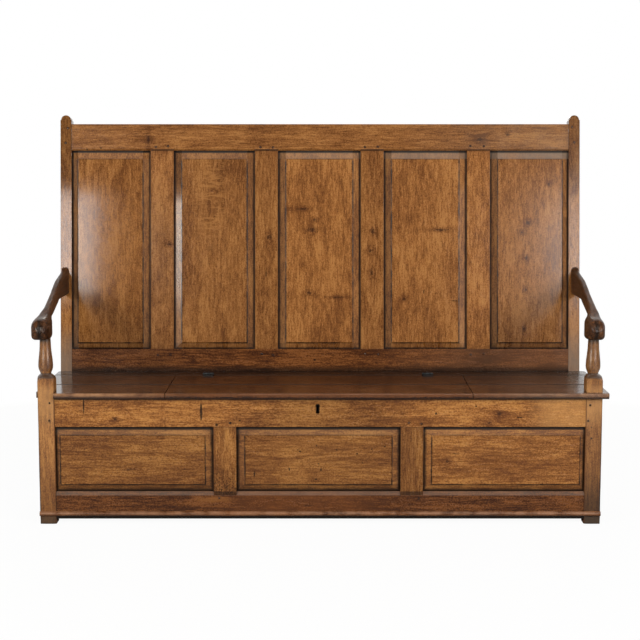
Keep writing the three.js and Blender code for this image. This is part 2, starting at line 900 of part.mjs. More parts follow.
function nosedOutline() {
  const shape = new THREE.Shape();
  const front = -nosing;
  shape.moveTo(frontBoardDepth - boardGap / 2, railTop);
  shape.lineTo(frontBoardDepth - boardGap / 2, seatHeight);
  shape.lineTo(front + nosingTopRadius, seatHeight);
  const highCentre = new THREE.Vector2(front + nosingTopRadius, seatHeight - nosingTopRadius);
  shape.absarc(highCentre.x, highCentre.y, nosingTopRadius, Math.PI / 2, Math.PI, false);
  const lowCentre = new THREE.Vector2(front + nosingBottomRadius, railTop + nosingBottomRadius);
  shape.absarc(lowCentre.x, lowCentre.y, nosingBottomRadius, Math.PI, 3 * Math.PI / 2, false);
  return shape;
}

const leftSeatEnd = -halfSpan - leftSeatOverhang;
const rightSeatEnd = halfSpan + rightSeatOverhang;
const seatEnd = (side) => (side < 0 ? leftSeatEnd : rightSeatEnd);
const rearBoardY = [frontBoardDepth + boardGap / 2, hingeLine - boardGap];
const boardZ = [railTop, seatHeight];

// The left board stops behind the face of its post, where its nosing has broken away
function seatEndFront(side) {
  const inner = side < 0 ? lidLeftEdge - lidGap : lidRightEdge + lidGap;
  const [x0, x1] = ordered([seatEnd(side), inner]);
  const board = alongX(nosedOutline(), x0, x1);
  const post = { ...frontPostRange(side), z: boardZ };
  if (side > 0) return cut(board, block(grown(post, fit)));
  const brokenNosing = block({
    x: [leftSeatEnd - overrun, -frontInner + fit],
    y: [-nosing - overrun, scarDepth],
    z: [railTop - overrun, seatHeight + overrun],
  });
  return cut(board, block(grown(post, fit)), brokenNosing);
}

function stripOutline() {
  const front = hingeLine + boardGap;
  const notchX = rearInner - fit;
  const notchY = seatDepth - fit;
  const rearEdge = seatDepth + rearFrameThickness;
  const leftCorner = leftSeatEnd + stripCornerRadius;
  const rightCorner = rightSeatEnd - stripCornerRadius;
  const shape = new THREE.Shape();
  shape.moveTo(leftSeatEnd, front);
  shape.lineTo(rightSeatEnd, front);
  shape.absarc(rightCorner, notchY - stripCornerRadius, stripCornerRadius, 0, Math.PI / 2, false);
  shape.lineTo(notchX, notchY);
  shape.lineTo(notchX, rearEdge);
  shape.lineTo(-notchX, rearEdge);
  shape.lineTo(-notchX, notchY);
  shape.absarc(leftCorner, notchY - stripCornerRadius, stripCornerRadius, Math.PI / 2, Math.PI, false);
  return shape;
}

function battenOutline() {
  const y0 = boxFrameThickness + battenInset;
  const y1 = hingeLine - battenInset;
  return polygon([
    [y0, railTop],
    [y0, railTop - battenThickness + battenEndChamfer],
    [y0 + battenEndChamfer, railTop - battenThickness],
    [y1 - battenEndChamfer, railTop - battenThickness],
    [y1, railTop - battenThickness + battenEndChamfer],
    [y1, railTop],
  ]);
}

function buildSeat() {
  for (const [side, name] of [[-1, 'left'], [1, 'right']]) {
    place(`seat_${name}_front_board`, seatEndFront(side), oakDark);
    const inner = side < 0 ? lidLeftEdge - lidGap : lidRightEdge + lidGap;
    const rearBoard = block({ x: ordered([seatEnd(side), inner]), y: rearBoardY, z: boardZ });
    place(`seat_${name}_rear_board`, rearBoard, oakDark);
  }
  place('seat_rear_strip', alongZ(stripOutline(), railTop, seatHeight, 2 * arcSegments), oakDark);
  place('lid_front_board', alongX(nosedOutline(), lidLeftEdge, lidRightEdge), oakDark);
  place('lid_rear_board', block({ x: [lidLeftEdge, lidRightEdge], y: rearBoardY, z: boardZ }), oakDark);
  const battenCentres = [lidLeftEdge + battenOffset, lidRightEdge - battenOffset];
  battenCentres.forEach((centre, i) => {
    const batten = alongX(battenOutline(), centre - battenWidth / 2, centre + battenWidth / 2);
    place(`lid_batten_${i + 1}`, batten, oakPlain);
  });
  bearerEdges.forEach((edge, i) => {
    place(`seat_bearer_${i + 1}`, join(block(bearerRange(edge)), block(bearerTenon(edge))), oakPlain);
  });
}

// Hinges: a leaf on the strip, a leaf on the lid and a pin through their knuckles

const hingeAxisHeight = seatHeight + knuckleRadius + fit;

function barrel(radius, x0, x1) {
  const rod = new THREE.CylinderGeometry(radius, radius, x1 - x0, turnSegments / 2);
  return solid(rod.rotateZ(Math.PI / 2).translate((x0 + x1) / 2, hingeLine, hingeAxisHeight));
}

// Leaf and knuckles of one side; toward is -1 for the lid and 1 for the strip
function hingeLeaf(centre, toward, knuckles) {
  const leaf = block({
    x: [centre - hingeWidth / 2, centre + hingeWidth / 2],
    y: [hingeLine + toward * (knuckleRadius + fit), hingeLine + toward * (knuckleRadius + hingeLeafLength)],
    z: [seatHeight, seatHeight + hingeLeafThickness],
  });
  const ears = knuckles.map(([x0, x1]) => join(
    barrel(knuckleRadius, x0, x1),
    block({
      x: [x0, x1],
      y: [hingeLine, hingeLine + toward * (knuckleRadius + hingeLeafThickness)],
      z: [seatHeight + fit, seatHeight + hingeLeafThickness],
    }),
  ));
  const bore = barrel(hingePinRadius + fit, centre - hingeWidth, centre + hingeWidth);
  return cut(join(leaf, ...ears), bore);
}

function buildHinges() {
  [hingeLeftCentre, hingeRightCentre].forEach((centre, i) => {
    const half = hingeWidth / 2;
    const third = hingeWidth / 3;
    const outerKnuckles = [
      [centre - half, centre - third / 2 - fit],
      [centre + third / 2 + fit, centre + half],
    ];
    const innerKnuckle = [[centre - third / 2, centre + third / 2]];
    place(`hinge_${i + 1}_fixed_leaf`, hingeLeaf(centre, 1, outerKnuckles), iron);
    place(`hinge_${i + 1}_lid_leaf`, hingeLeaf(centre, -1, innerKnuckle), iron);
    const shank = barrel(hingePinRadius, centre - half - hingePinHead, centre + half + hingePinHead);
    const heads = [
      barrel(hingePinRadius + hingePinHead, centre - half - 2 * hingePinHead, centre - half - fit),
      barrel(hingePinRadius + hingePinHead, centre + half + fit, centre + half + 2 * hingePinHead),
    ];
    place(`hinge_${i + 1}_pin`, join(shank, ...heads), iron);
  });
}

// Lock: an iron tray behind the rail, a sliding bolt in it and a staple under the lid

const lockTop = railTop - lockDrop;
const lockX = [keyholeOffset - lockWidth / 2, keyholeOffset + lockWidth / 2];
const lockY = [boxFrameThickness, boxFrameThickness + lockDepth];
const lockZ = [lockTop - lockHeight, lockTop];

// The staple stands back from the rail by the room that its swing with the lid needs
const stapleX = [keyholeOffset - stapleThickness / 2, keyholeOffset + stapleThickness / 2];
const stapleY = [lockY[0] + stapleSwing, lockY[0] + stapleSwing + stapleDepth];
const stapleLow = railTop - stapleDrop;
const boltX = [stapleX[1] + boltClearance, stapleX[1] + boltClearance + boltLength];
const boltMiddle = (stapleY[0] + stapleY[1]) / 2;
const boltY = [boltMiddle - boltThickness / 2, boltMiddle + boltThickness / 2];
const boltZ = [stapleLow + stapleBow + fit, stapleLow + stapleBow + fit + boltHeight];

function lockCase() {
  const outer = block({ x: lockX, y: lockY, z: lockZ });
  const hollow = block({
    x: [lockX[0] + lockWall, lockX[1] - lockWall],
    y: [lockY[0] - overrun, lockY[1] - lockWall],
    z: [lockZ[0] + lockWall, lockZ[1] - lockWall],
  });
  const stapleSlot = block({
    x: [stapleX[0] - boltClearance, stapleX[1] + boltClearance],
    y: [lockY[0] - overrun, stapleY[1] + boltClearance],
    z: [lockZ[1] - lockWall - overrun, lockZ[1] + overrun],
  });
  // Two guides keep the bolt at its height, one below it and one above it
  const shelfHeights = [
    [boltZ[0] - fit - lockWall, boltZ[0] - fit],
    [boltZ[1] + fit, boltZ[1] + fit + lockWall],
  ];
  const shelves = shelfHeights.map((z) => block({
    x: [boltX[0] + boltTravel, lockX[1] - lockWall / 2],
    y: [boltY[0], lockY[1] - lockWall / 2],
    z,
  }));
  return join(cut(outer, hollow, stapleSlot), ...shelves);
}

function lockBolt() {
  return block({ x: boltX, y: boltY, z: boltZ });
}

// The bow's outline lies in the plane of (y, z), so that the bolt passes through it along x
function lidStaple() {
  const plate = block({
    x: [keyholeOffset - staplePlateWidth / 2, keyholeOffset + staplePlateWidth / 2],
    y: [lockY[0] + endRoom, lockY[0] + endRoom + staplePlateDepth],
    z: [railTop - staplePlateThickness, railTop],
  });
  const bow = new THREE.Shape();
  bow.moveTo(stapleY[0], railTop - staplePlateThickness / 2);
  bow.lineTo(stapleY[0], stapleLow + stapleBow);
  bow.quadraticCurveTo(stapleY[0], stapleLow, boltMiddle, stapleLow);
  bow.quadraticCurveTo(stapleY[1], stapleLow, stapleY[1], stapleLow + stapleBow);
  bow.lineTo(stapleY[1], railTop - staplePlateThickness / 2);
  const eye = block({
    x: [stapleX[0] - overrun, stapleX[1] + overrun],
    y: [stapleY[0] + stapleLeg, stapleY[1] - stapleLeg],
    z: [boltZ[0] - fit, boltZ[1] + fit],
  });
  return cut(join(plate, alongX(bow, stapleX[0], stapleX[1])), eye);
}

function buildLock() {
  place('lock_case', lockCase(), iron);
  place('lock_bolt', lockBolt(), iron);
  place('lid_staple', lidStaple(), iron);
}

// Floor of the box

function buildFloor() {
  const y0 = boxFrameThickness + fit;
  const width = (seatDepth - fit - y0) / floorBoardCount;
  const end = halfSpan - boxFrameThickness + floorHousing - panelPlay;
  const corners = [-1, 1].map((side) => block(grown({ ...frontPostRange(side), z: [0, seatHeight] }, fit)));
  for (let i = 0; i < floorBoardCount; i += 1) {
    const board = block({
      x: [-end, end],
      y: [y0 + i * width, y0 + (i + 1) * width - boardGap],
      z: [floorTop - floorThickness, floorTop],
    });
    place(`floor_board_${i + 1}`, cut(board, ...corners), oakPlain);
  }
  const bearer = block({
    x: [-floorBearerWidth / 2, floorBearerWidth / 2],
    y: [boxFrameThickness, seatDepth],
    z: [footClearance, footClearance + floorLift],
  });
  place('floor_bearer', join(bearer, block(floorBearerTenon())), oakPlain);
}

// Arms: lofted from the knob of the hand to the post, deepest at the back

function roundedSection(side, y, [x0, x1], [z0, z1], topShare, bottomShare) {
  const topRadius = Math.min(x1 - x0, z1 - z0) * topShare;
  const bottomRadius = Math.min(x1 - x0, z1 - z0) * bottomShare;
  const corners = [
    [x1 - bottomRadius, z0 + bottomRadius, bottomRadius, -Math.PI / 2],
    [x1 - topRadius, z1 - topRadius, topRadius, 0],
    [x0 + topRadius, z1 - topRadius, topRadius, Math.PI / 2],
    [x0 + bottomRadius, z0 + bottomRadius, bottomRadius, Math.PI],
  ];
  const ring = [];
  for (const [cx, cz, radius, start] of corners) {
    for (let i = 0; i <= arcSegments; i += 1) {
      const angle = start + (i / arcSegments) * Math.PI / 2;
      ring.push(new THREE.Vector3(side * (cx + radius * Math.cos(angle)), y, cz + radius * Math.sin(angle)));
    }
  }
  return side > 0 ? ring.reverse() : ring;
}

// Columns: way along the arm, top, underside, spread inwards and outwards, roundings of the top and underside
const armStationShares = [
  [0, 0.2, 0.07, 0.25, 0.25, 0.48, 0.45],
  [0.011, 0.28, 0.03, 0.6, 0.7, 0.46, 0.38],
  [0.036, 0.335, 0.005, 0.95, 0.95, 0.44, 0.26],
  [0.075, 0.358, 0, 1, 1, 0.42, 0.2],
  [0.13, 0.368, 0, 1, 1, 0.4, 0.18],
  [0.163, 0.382, 0.02, 0.85, 0.85, 0.4, 0.22],
  [0.19, 0.402, 0.11, 0.3, 0.6, 0.4, 0.25],
  [0.217, 0.426, 0.27, -0.05, 0.35, 0.4, 0.25],
  [0.25, 0.46, 0.32, -0.2, 0.15, 0.4, 0.22],
  [0.33, 0.53, 0.35, -0.3, -0.05, 0.38, 0.2],
  [0.43, 0.61, 0.405, -0.38, -0.12, 0.36, 0.18],
  [0.52, 0.68, 0.465, -0.4, -0.15, 0.34, 0.16],
  [0.575, 0.735, 0.505, -0.42, -0.15, 0.32, 0.14],
  [0.585, 0.745, 0.53, -0.42, -0.15, 0.32, 0.1],
  [0.7, 0.835, 0.527, -0.42, -0.1, 0.3, 0.1],
  [0.85, 0.92, 0.525, -0.42, 0, 0.28, 0.1],
  [1, 1, 0.525, -0.42, 0, 0.28, 0.1],
  [1.1, 1.06, 0.525, -0.42, 0, 0.28, 0.1],
];

function arm(side, handShift) {
  const rise = armRise - handRise;
  const rearFace = seatDepth + armRise * Math.tan(rake);
  const run = rearFace + handOverhang;
  const rings = armStationShares.map(([along, top, bottom, inner, outer, topRound, bottomRound]) => {
    const shift = handShift * Math.max(inner, outer, 0);
    const inside = rearInner - inner * (inner > 0 ? armFlare : armWaist) + shift;
    const outside = halfSpan - handInset + outer * (handOutset + handInset) + shift;
    return roundedSection(
      side,
      along * run - handOverhang,
      [inside, outside],
      [handBottom + bottom * rise, handBottom + top * rise],
      topRound,
      bottomRound,
    );
  });
  const blank = loft(rings);
  const behindPost = rakedBlock({
    x: [-postSpan, postSpan],
    y: [-fit, seatDepth],
    z: [-seatHeight, backRise],
  });
  const socket = new THREE.CylinderGeometry(
    armTenonRadius + fit, armTenonRadius + fit, 2 * (armTenonLength + endRoom), turnSegments / 2,
  );
  const socketX = side * (halfSpan - frontPostSize / 2);
  socket.rotateX(Math.PI / 2).translate(socketX, frontPostSize / 2, handBottom);
  const trimmed = join(cut(blank, behindPost), rakedBlock(armTenon(side)));
  return cut(trimmed, solid(socket));
}

function buildArms() {
  for (const [side, name] of [[-1, 'left'], [1, 'right']]) {
    place(`arm_${name}`, arm(side, handShifts[name]), oakDark);
  }
}

buildFront();
buildSides();
buildRear();
buildBack();
buildSeat();
buildHinges();
buildLock();
buildFloor();
buildArms();

// The origin is the middle of the bench on the floor
const box = new THREE.Box3().setFromObject(bench);
const centre = box.getCenter(new THREE.Vector3());
bench.position.set(-centre.x, -centre.y, -box.min.z);

export default bench;
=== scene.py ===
"""The looks of a joined oak settle bench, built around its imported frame, in metres.

The frame's own nodes keep their meshes and get procedural oak and iron. New pieces are the pegs
and nails, the smooth arms and the turned front posts, all worked out as whole arrays.
"""

import math

import bpy
import numpy as np
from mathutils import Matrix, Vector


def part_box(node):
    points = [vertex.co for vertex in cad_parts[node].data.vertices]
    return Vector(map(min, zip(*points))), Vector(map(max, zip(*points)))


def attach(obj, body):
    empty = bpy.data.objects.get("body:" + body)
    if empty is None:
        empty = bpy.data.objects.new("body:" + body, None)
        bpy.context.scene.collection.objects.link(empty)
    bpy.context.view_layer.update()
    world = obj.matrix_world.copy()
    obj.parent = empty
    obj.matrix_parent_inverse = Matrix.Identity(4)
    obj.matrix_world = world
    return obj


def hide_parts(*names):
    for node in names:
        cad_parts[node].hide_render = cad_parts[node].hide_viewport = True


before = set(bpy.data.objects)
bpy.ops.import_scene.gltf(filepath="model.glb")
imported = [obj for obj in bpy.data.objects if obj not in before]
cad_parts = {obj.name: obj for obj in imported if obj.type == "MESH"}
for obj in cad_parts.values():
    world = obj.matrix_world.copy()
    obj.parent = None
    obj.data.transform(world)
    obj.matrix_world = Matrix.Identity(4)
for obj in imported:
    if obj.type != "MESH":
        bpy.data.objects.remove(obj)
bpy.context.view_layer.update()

# The camera that the photograph was taken with, worked out from the bench's own edges
CAMERA_PLACE = (-0.0004, -5.2835, 1.3007)
CAMERA_PITCH = math.radians(6.98)
CAMERA_LENS = 85.57
SENSOR = 36.0

# Oak tones as linear colours: dark, middle and light of each finish
HONEY = ((0.120, 0.040, 0.010), (0.270, 0.104, 0.025), (0.440, 0.198, 0.052))
GOLDEN = ((0.115, 0.040, 0.010), (0.245, 0.095, 0.024), (0.375, 0.168, 0.049))
RUSSET = ((0.036, 0.011, 0.004), (0.100, 0.032, 0.008), (0.200, 0.071, 0.019))
SEAT_BROWN = ((0.020, 0.006, 0.003), (0.068, 0.021, 0.007), (0.140, 0.048, 0.016))
ARM_BROWN = ((0.014, 0.005, 0.002), (0.050, 0.018, 0.006), (0.110, 0.043, 0.016))
DRY = ((0.110, 0.060, 0.030), (0.210, 0.125, 0.066), (0.310, 0.200, 0.115))

# Colours that are laid over the oak: dirt, wear and tone, and also painted light and shade
GRIME_AND_SHADE = (0.009, 0.005, 0.003)
KNOT = (0.030, 0.011, 0.005)
PALE_DUST_AND_SHEEN = (0.200, 0.150, 0.115)
SUNNED_AND_LIT = (0.550, 0.280, 0.095)
SILL_BROWN = (0.170, 0.055, 0.014)
WORN_LIT_BEAD = (0.340, 0.170, 0.090)
FADED_RAIL = (0.210, 0.095, 0.045)
RUBBED_EDGE = (0.150, 0.054, 0.017)
BARE_EDGE = (0.420, 0.200, 0.080)
DRY_DARK = (0.030, 0.015, 0.007)
SCUFFED_FOOT = (0.042, 0.027, 0.015)
COLLAR = (0.030, 0.014, 0.007)
LOW_POST_SHADE = (0.54, 0.48, 0.36)

# Tones of the iron: scale in its pits and on its rises, and where it is rubbed
IRON_DARK = (0.010, 0.010, 0.010)
IRON_LIGHT = (0.040, 0.042, 0.044)
IRON_RUBBED = (0.12, 0.125, 0.13)

# Floor and room: grey to the bench, white to the camera
WHITE = (1.0, 1.0, 1.0)
FLOOR_GREY = (0.42, 0.42, 0.42)
FLOOR_WHITE = (0.90, 0.90, 0.90)
FLOOR_GLOW = 0.955
FLOOR_SIZE = 30.0
ROOM_LIGHT = 0.12
LEFT_TINT = (1.0, 0.97, 0.88)
RIGHT_TINT = (1.0, 0.97, 0.95)

# How far each pattern of the oak's figure is drawn out along the grain: the lower, the longer
STAIN_STRETCH = 0.5
STREAK_STRETCH = 0.15
GRAIN_STRETCH = 0.09
FLECK_STRETCH = 0.6
PORE_STRETCH = 0.035

# Depth of the grain's relief, and how far apart two pieces' patterns are shifted
RELIEF_DEPTH = 0.0006
PATTERN_SPREAD = 9.0

# The colour sockets of a Mix node
MIX_FACTOR, MIX_FIRST, MIX_SECOND, MIX_RESULT = 0, 6, 7, 2


def feed(tree, socket, item):
    """Sets a socket to a number or colour, or links it to a value."""
    if isinstance(item, Value):
        tree.links.new(item.socket, socket)
    elif isinstance(item, bpy.types.NodeSocket):
        tree.links.new(item, socket)
    elif isinstance(item, (tuple, list)) and len(item) == 3 and len(socket.default_value) == 4:
        socket.default_value = (*item, 1.0)
    else:
        socket.default_value = item


def calc(tree, operation, *items):
    """A Math node of that operation on numbers and values."""
    node = tree.nodes.new("ShaderNodeMath")
    node.operation = operation
    for socket, item in zip(node.inputs, items):
        feed(tree, socket, item)
    return Value(tree, node.outputs[0])


class Value:
    """A number in a node tree: an expression on it adds Math nodes."""

    def __init__(self, tree, socket):
        self.tree = tree
        self.socket = socket

    def __add__(self, other):
        return calc(self.tree, "ADD", self, other)

    __radd__ = __add__

    def __sub__(self, other):
        return calc(self.tree, "SUBTRACT", self, other)

    def __rsub__(self, other):
        return calc(self.tree, "SUBTRACT", other, self)

    def __mul__(self, other):
        return calc(self.tree, "MULTIPLY", self, other)

    __rmul__ = __mul__

    def __truediv__(self, other):
        return calc(self.tree, "DIVIDE", self, other)

    def __abs__(self):
        return calc(self.tree, "ABSOLUTE", self)

    def root(self):
        return calc(self.tree, "SQRT", self)

    def least(self, other):
        return calc(self.tree, "MINIMUM", self, other)

    def most(self, other):
        return calc(self.tree, "MAXIMUM", self, other)

    def rise(self, low, high):
        """Zero below low, one above high and a smooth step between them."""
        node = self.tree.nodes.new("ShaderNodeMapRange")
        node.interpolation_type = "SMOOTHSTEP"
        for name, item in (("Value", self), ("From Min", low), ("From Max", high)):
            feed(self.tree, node.inputs[name], item)
        return Value(self.tree, node.outputs["Result"])

    def fall(self, low, high):
        """One below low, zero above high and a smooth step between them."""
        return 1.0 - self.rise(low, high)


class Paint:
    """A material in the making: its node tree, its shader and the object's own coordinates."""

    def __init__(self, name):
        self.material = bpy.data.materials.new(name)
        self.material.use_nodes = True
        self.tree = self.material.node_tree
        self.shader = self.tree.nodes["Principled BSDF"]
        self.place = self.add("TexCoord").outputs["Object"]
        axes = self.add("SeparateXYZ", values={"Vector": self.place})
        self.x, self.y, self.z = (Value(self.tree, socket) for socket in axes.outputs)
        self.colour = None

    def add(self, kind, settings=None, values=None):
        """A node of that kind: its settings first, then the numbers or links of its sockets."""
        node = self.tree.nodes.new("ShaderNode" + kind)
        for name, setting in (settings or {}).items():
            if name == "stops":
                ramp = node.color_ramp
                while len(ramp.elements) < len(setting):
                    ramp.elements.new(0.5)
                for element, (position, colour) in zip(ramp.elements, setting):
                    element.position = position
                    element.color = (*colour, 1.0)
            else:
                setattr(node, name, setting)
        for socket, item in (values or {}).items():
            feed(self.tree, node.inputs[socket], item)
        return node

    def mapped(self, shift, scale=(1.0, 1.0, 1.0)):
        """The object's coordinates, scaled by axis and then shifted."""
        values = {"Vector": self.place, "Scale": scale, "Location": shift}
        return self.add("Mapping", values=values).outputs[0]

    def noise(self, vector, scale, detail=3.0, roughness=0.5, distortion=0.0):
        """Smooth noise from 0 to 1, with a period of about one over scale."""
        node = self.add("TexNoise", values={
            "Vector": vector, "Scale": scale, "Detail": detail,
            "Roughness": roughness, "Distortion": distortion,
        })
        return Value(self.tree, node.outputs["Fac"])

    def mix(self, factor, first, second, blend="MIX"):
        """A colour from first to second as factor goes from 0 to 1."""
        node = self.add("Mix", {"data_type": "RGBA", "blend_type": blend, "clamp_factor": True}, {
            MIX_FACTOR: factor, MIX_FIRST: first, MIX_SECOND: second,
        })
        return node.outputs[MIX_RESULT]

    def lay(self, factor, colour, blend="MIX"):
        """Lays a coat of colour, as thick as factor, over the paint's own."""
        self.colour = self.mix(factor, self.colour, colour, blend)

    def darken(self, factor, share):
        """Brings the paint's own colour down to a share where factor is 1, with its figure kept."""
        self.lay(factor, (share, share, share), "MULTIPLY")

    def ramp(self, factor, stops):
        """A colour picked along a ramp of stops."""
        return self.add("ValToRGB", {"stops": stops}, {"Fac": factor}).outputs["Color"]

    def finish(self, roughness, height, relief, rounding, **constants):
        """Links the colour, roughness and relief, and sets what is the same all over.

        The relief bumps the surface, whose arrises are first rounded by the given radius.
        """
        feed(self.tree, self.shader.inputs["Base Color"], self.colour)
        feed(self.tree, self.shader.inputs["Roughness"], roughness)
        values = {"Height": height, "Distance": RELIEF_DEPTH, "Strength": relief}
        if rounding:
            bevel = self.add("Bevel", {"samples": 4}, {"Radius": rounding})
            values["Normal"] = bevel.outputs["Normal"]
        bump = self.add("Bump", values=values)
        feed(self.tree, self.shader.inputs["Normal"], bump.outputs["Normal"])
        for name, item in constants.items():
            socket = name.replace("_", " ").title().replace("Ior", "IOR")
            feed(self.tree, self.shader.inputs[socket], item)
        return self.material


def inside(paint, x0, x1, z0, z1):
    """How far a point lies inside a rectangle of x and z: its distance from the nearest edge."""
    across = (paint.x - x0).least(x1 - paint.x)
    return across.least((paint.z - z0).least(z1 - paint.z))


def spot(paint, x, z, half_width, half_height):
    """Distance from a mark's centre, one at the rim of an ellipse of the given half sizes."""
    u = (paint.x - x) / half_width
    v = (paint.z - z) / half_height
    return (u * u + v * v).root()


def pattern_shift(seed):
    """A random shift of a piece's patterns, the same for the same seed."""
    draw = np.random.default_rng(seed)
    return tuple(draw.uniform(-PATTERN_SPREAD, PATTERN_SPREAD, 3))


def shaded(tones, share):
    """The same three tones, darker or lighter."""
    return tuple(tuple(channel * share for channel in tone) for tone in tones)


def soil_and_shade_bevels(paint, blotches, streaks, opening, bevels, dusty, grime, dull):
    """Lays dirt and painted shade on a fielded panel's slopes; says what each adds to roughness.

    A dark line of dirt and painted shadow follows the step of the raised field, weaker at its
    top. The upper slope is a ledge with dust and a pale painted sheen, the lower one is darkened
    as painted shade, a dull slope is darkened as painted shade, and a painted shadow of the rail
    above, with dirt, lies along the top of the opening.
    """
    x0, x1, z0, z1 = opening
    left, right, bottom, top = bevels
    field = inside(paint, x0 + left, x1 - right, z0 + bottom, z1 - top)
    # Dirt and a painted shadow of the field's step, in a line round the field, weaker at its top
    line = abs(field + 0.0008).fall(0.0010, 0.0038)
    above = 1.0 - (paint.z - z1 + top).rise(-0.006, -0.004) * 0.5
    paint.lay(line * above * (0.25 + blotches.rise(0.3, 0.6) * 0.7), GRIME_AND_SHADE)
    slopes = field.fall(-0.002, 0.0) * (0.4 + streaks * 0.6)
    # Dust and a pale painted sheen on the upper slope
    ledge = (paint.z - z1 + top).rise(0.0, 0.002) * field.fall(-0.002, 0.0)
    paint.lay(ledge * dusty * (0.5 + blotches), PALE_DUST_AND_SHEEN)
    slopes = slopes + ledge * 2.0
    # Painted shade on the lower slope
    paint.darken((paint.z - z0 - bottom).fall(-0.002, 0.0), 0.75)
    for edge, share in dull.items():
        reach = paint.x - x0 - left if edge == "left" else x1 - right - paint.x
        worn = reach.fall(-0.002, 0.0) * (share(paint) if callable(share) else share)
        # Painted shade on a dull slope, deeper on the left one
        paint.darken(worn, 0.6 if edge == "left" else 0.85)
        slopes = slopes + worn * 3.5
    # Painted shadow of the rail above, with dirt, along the top of the opening
    lip = (z1 - paint.z).fall(0.002 + grime * 0.4, 0.007 + grime * 0.4)
    paint.lay(lip * 0.9, GRIME_AND_SHADE)
    return slopes


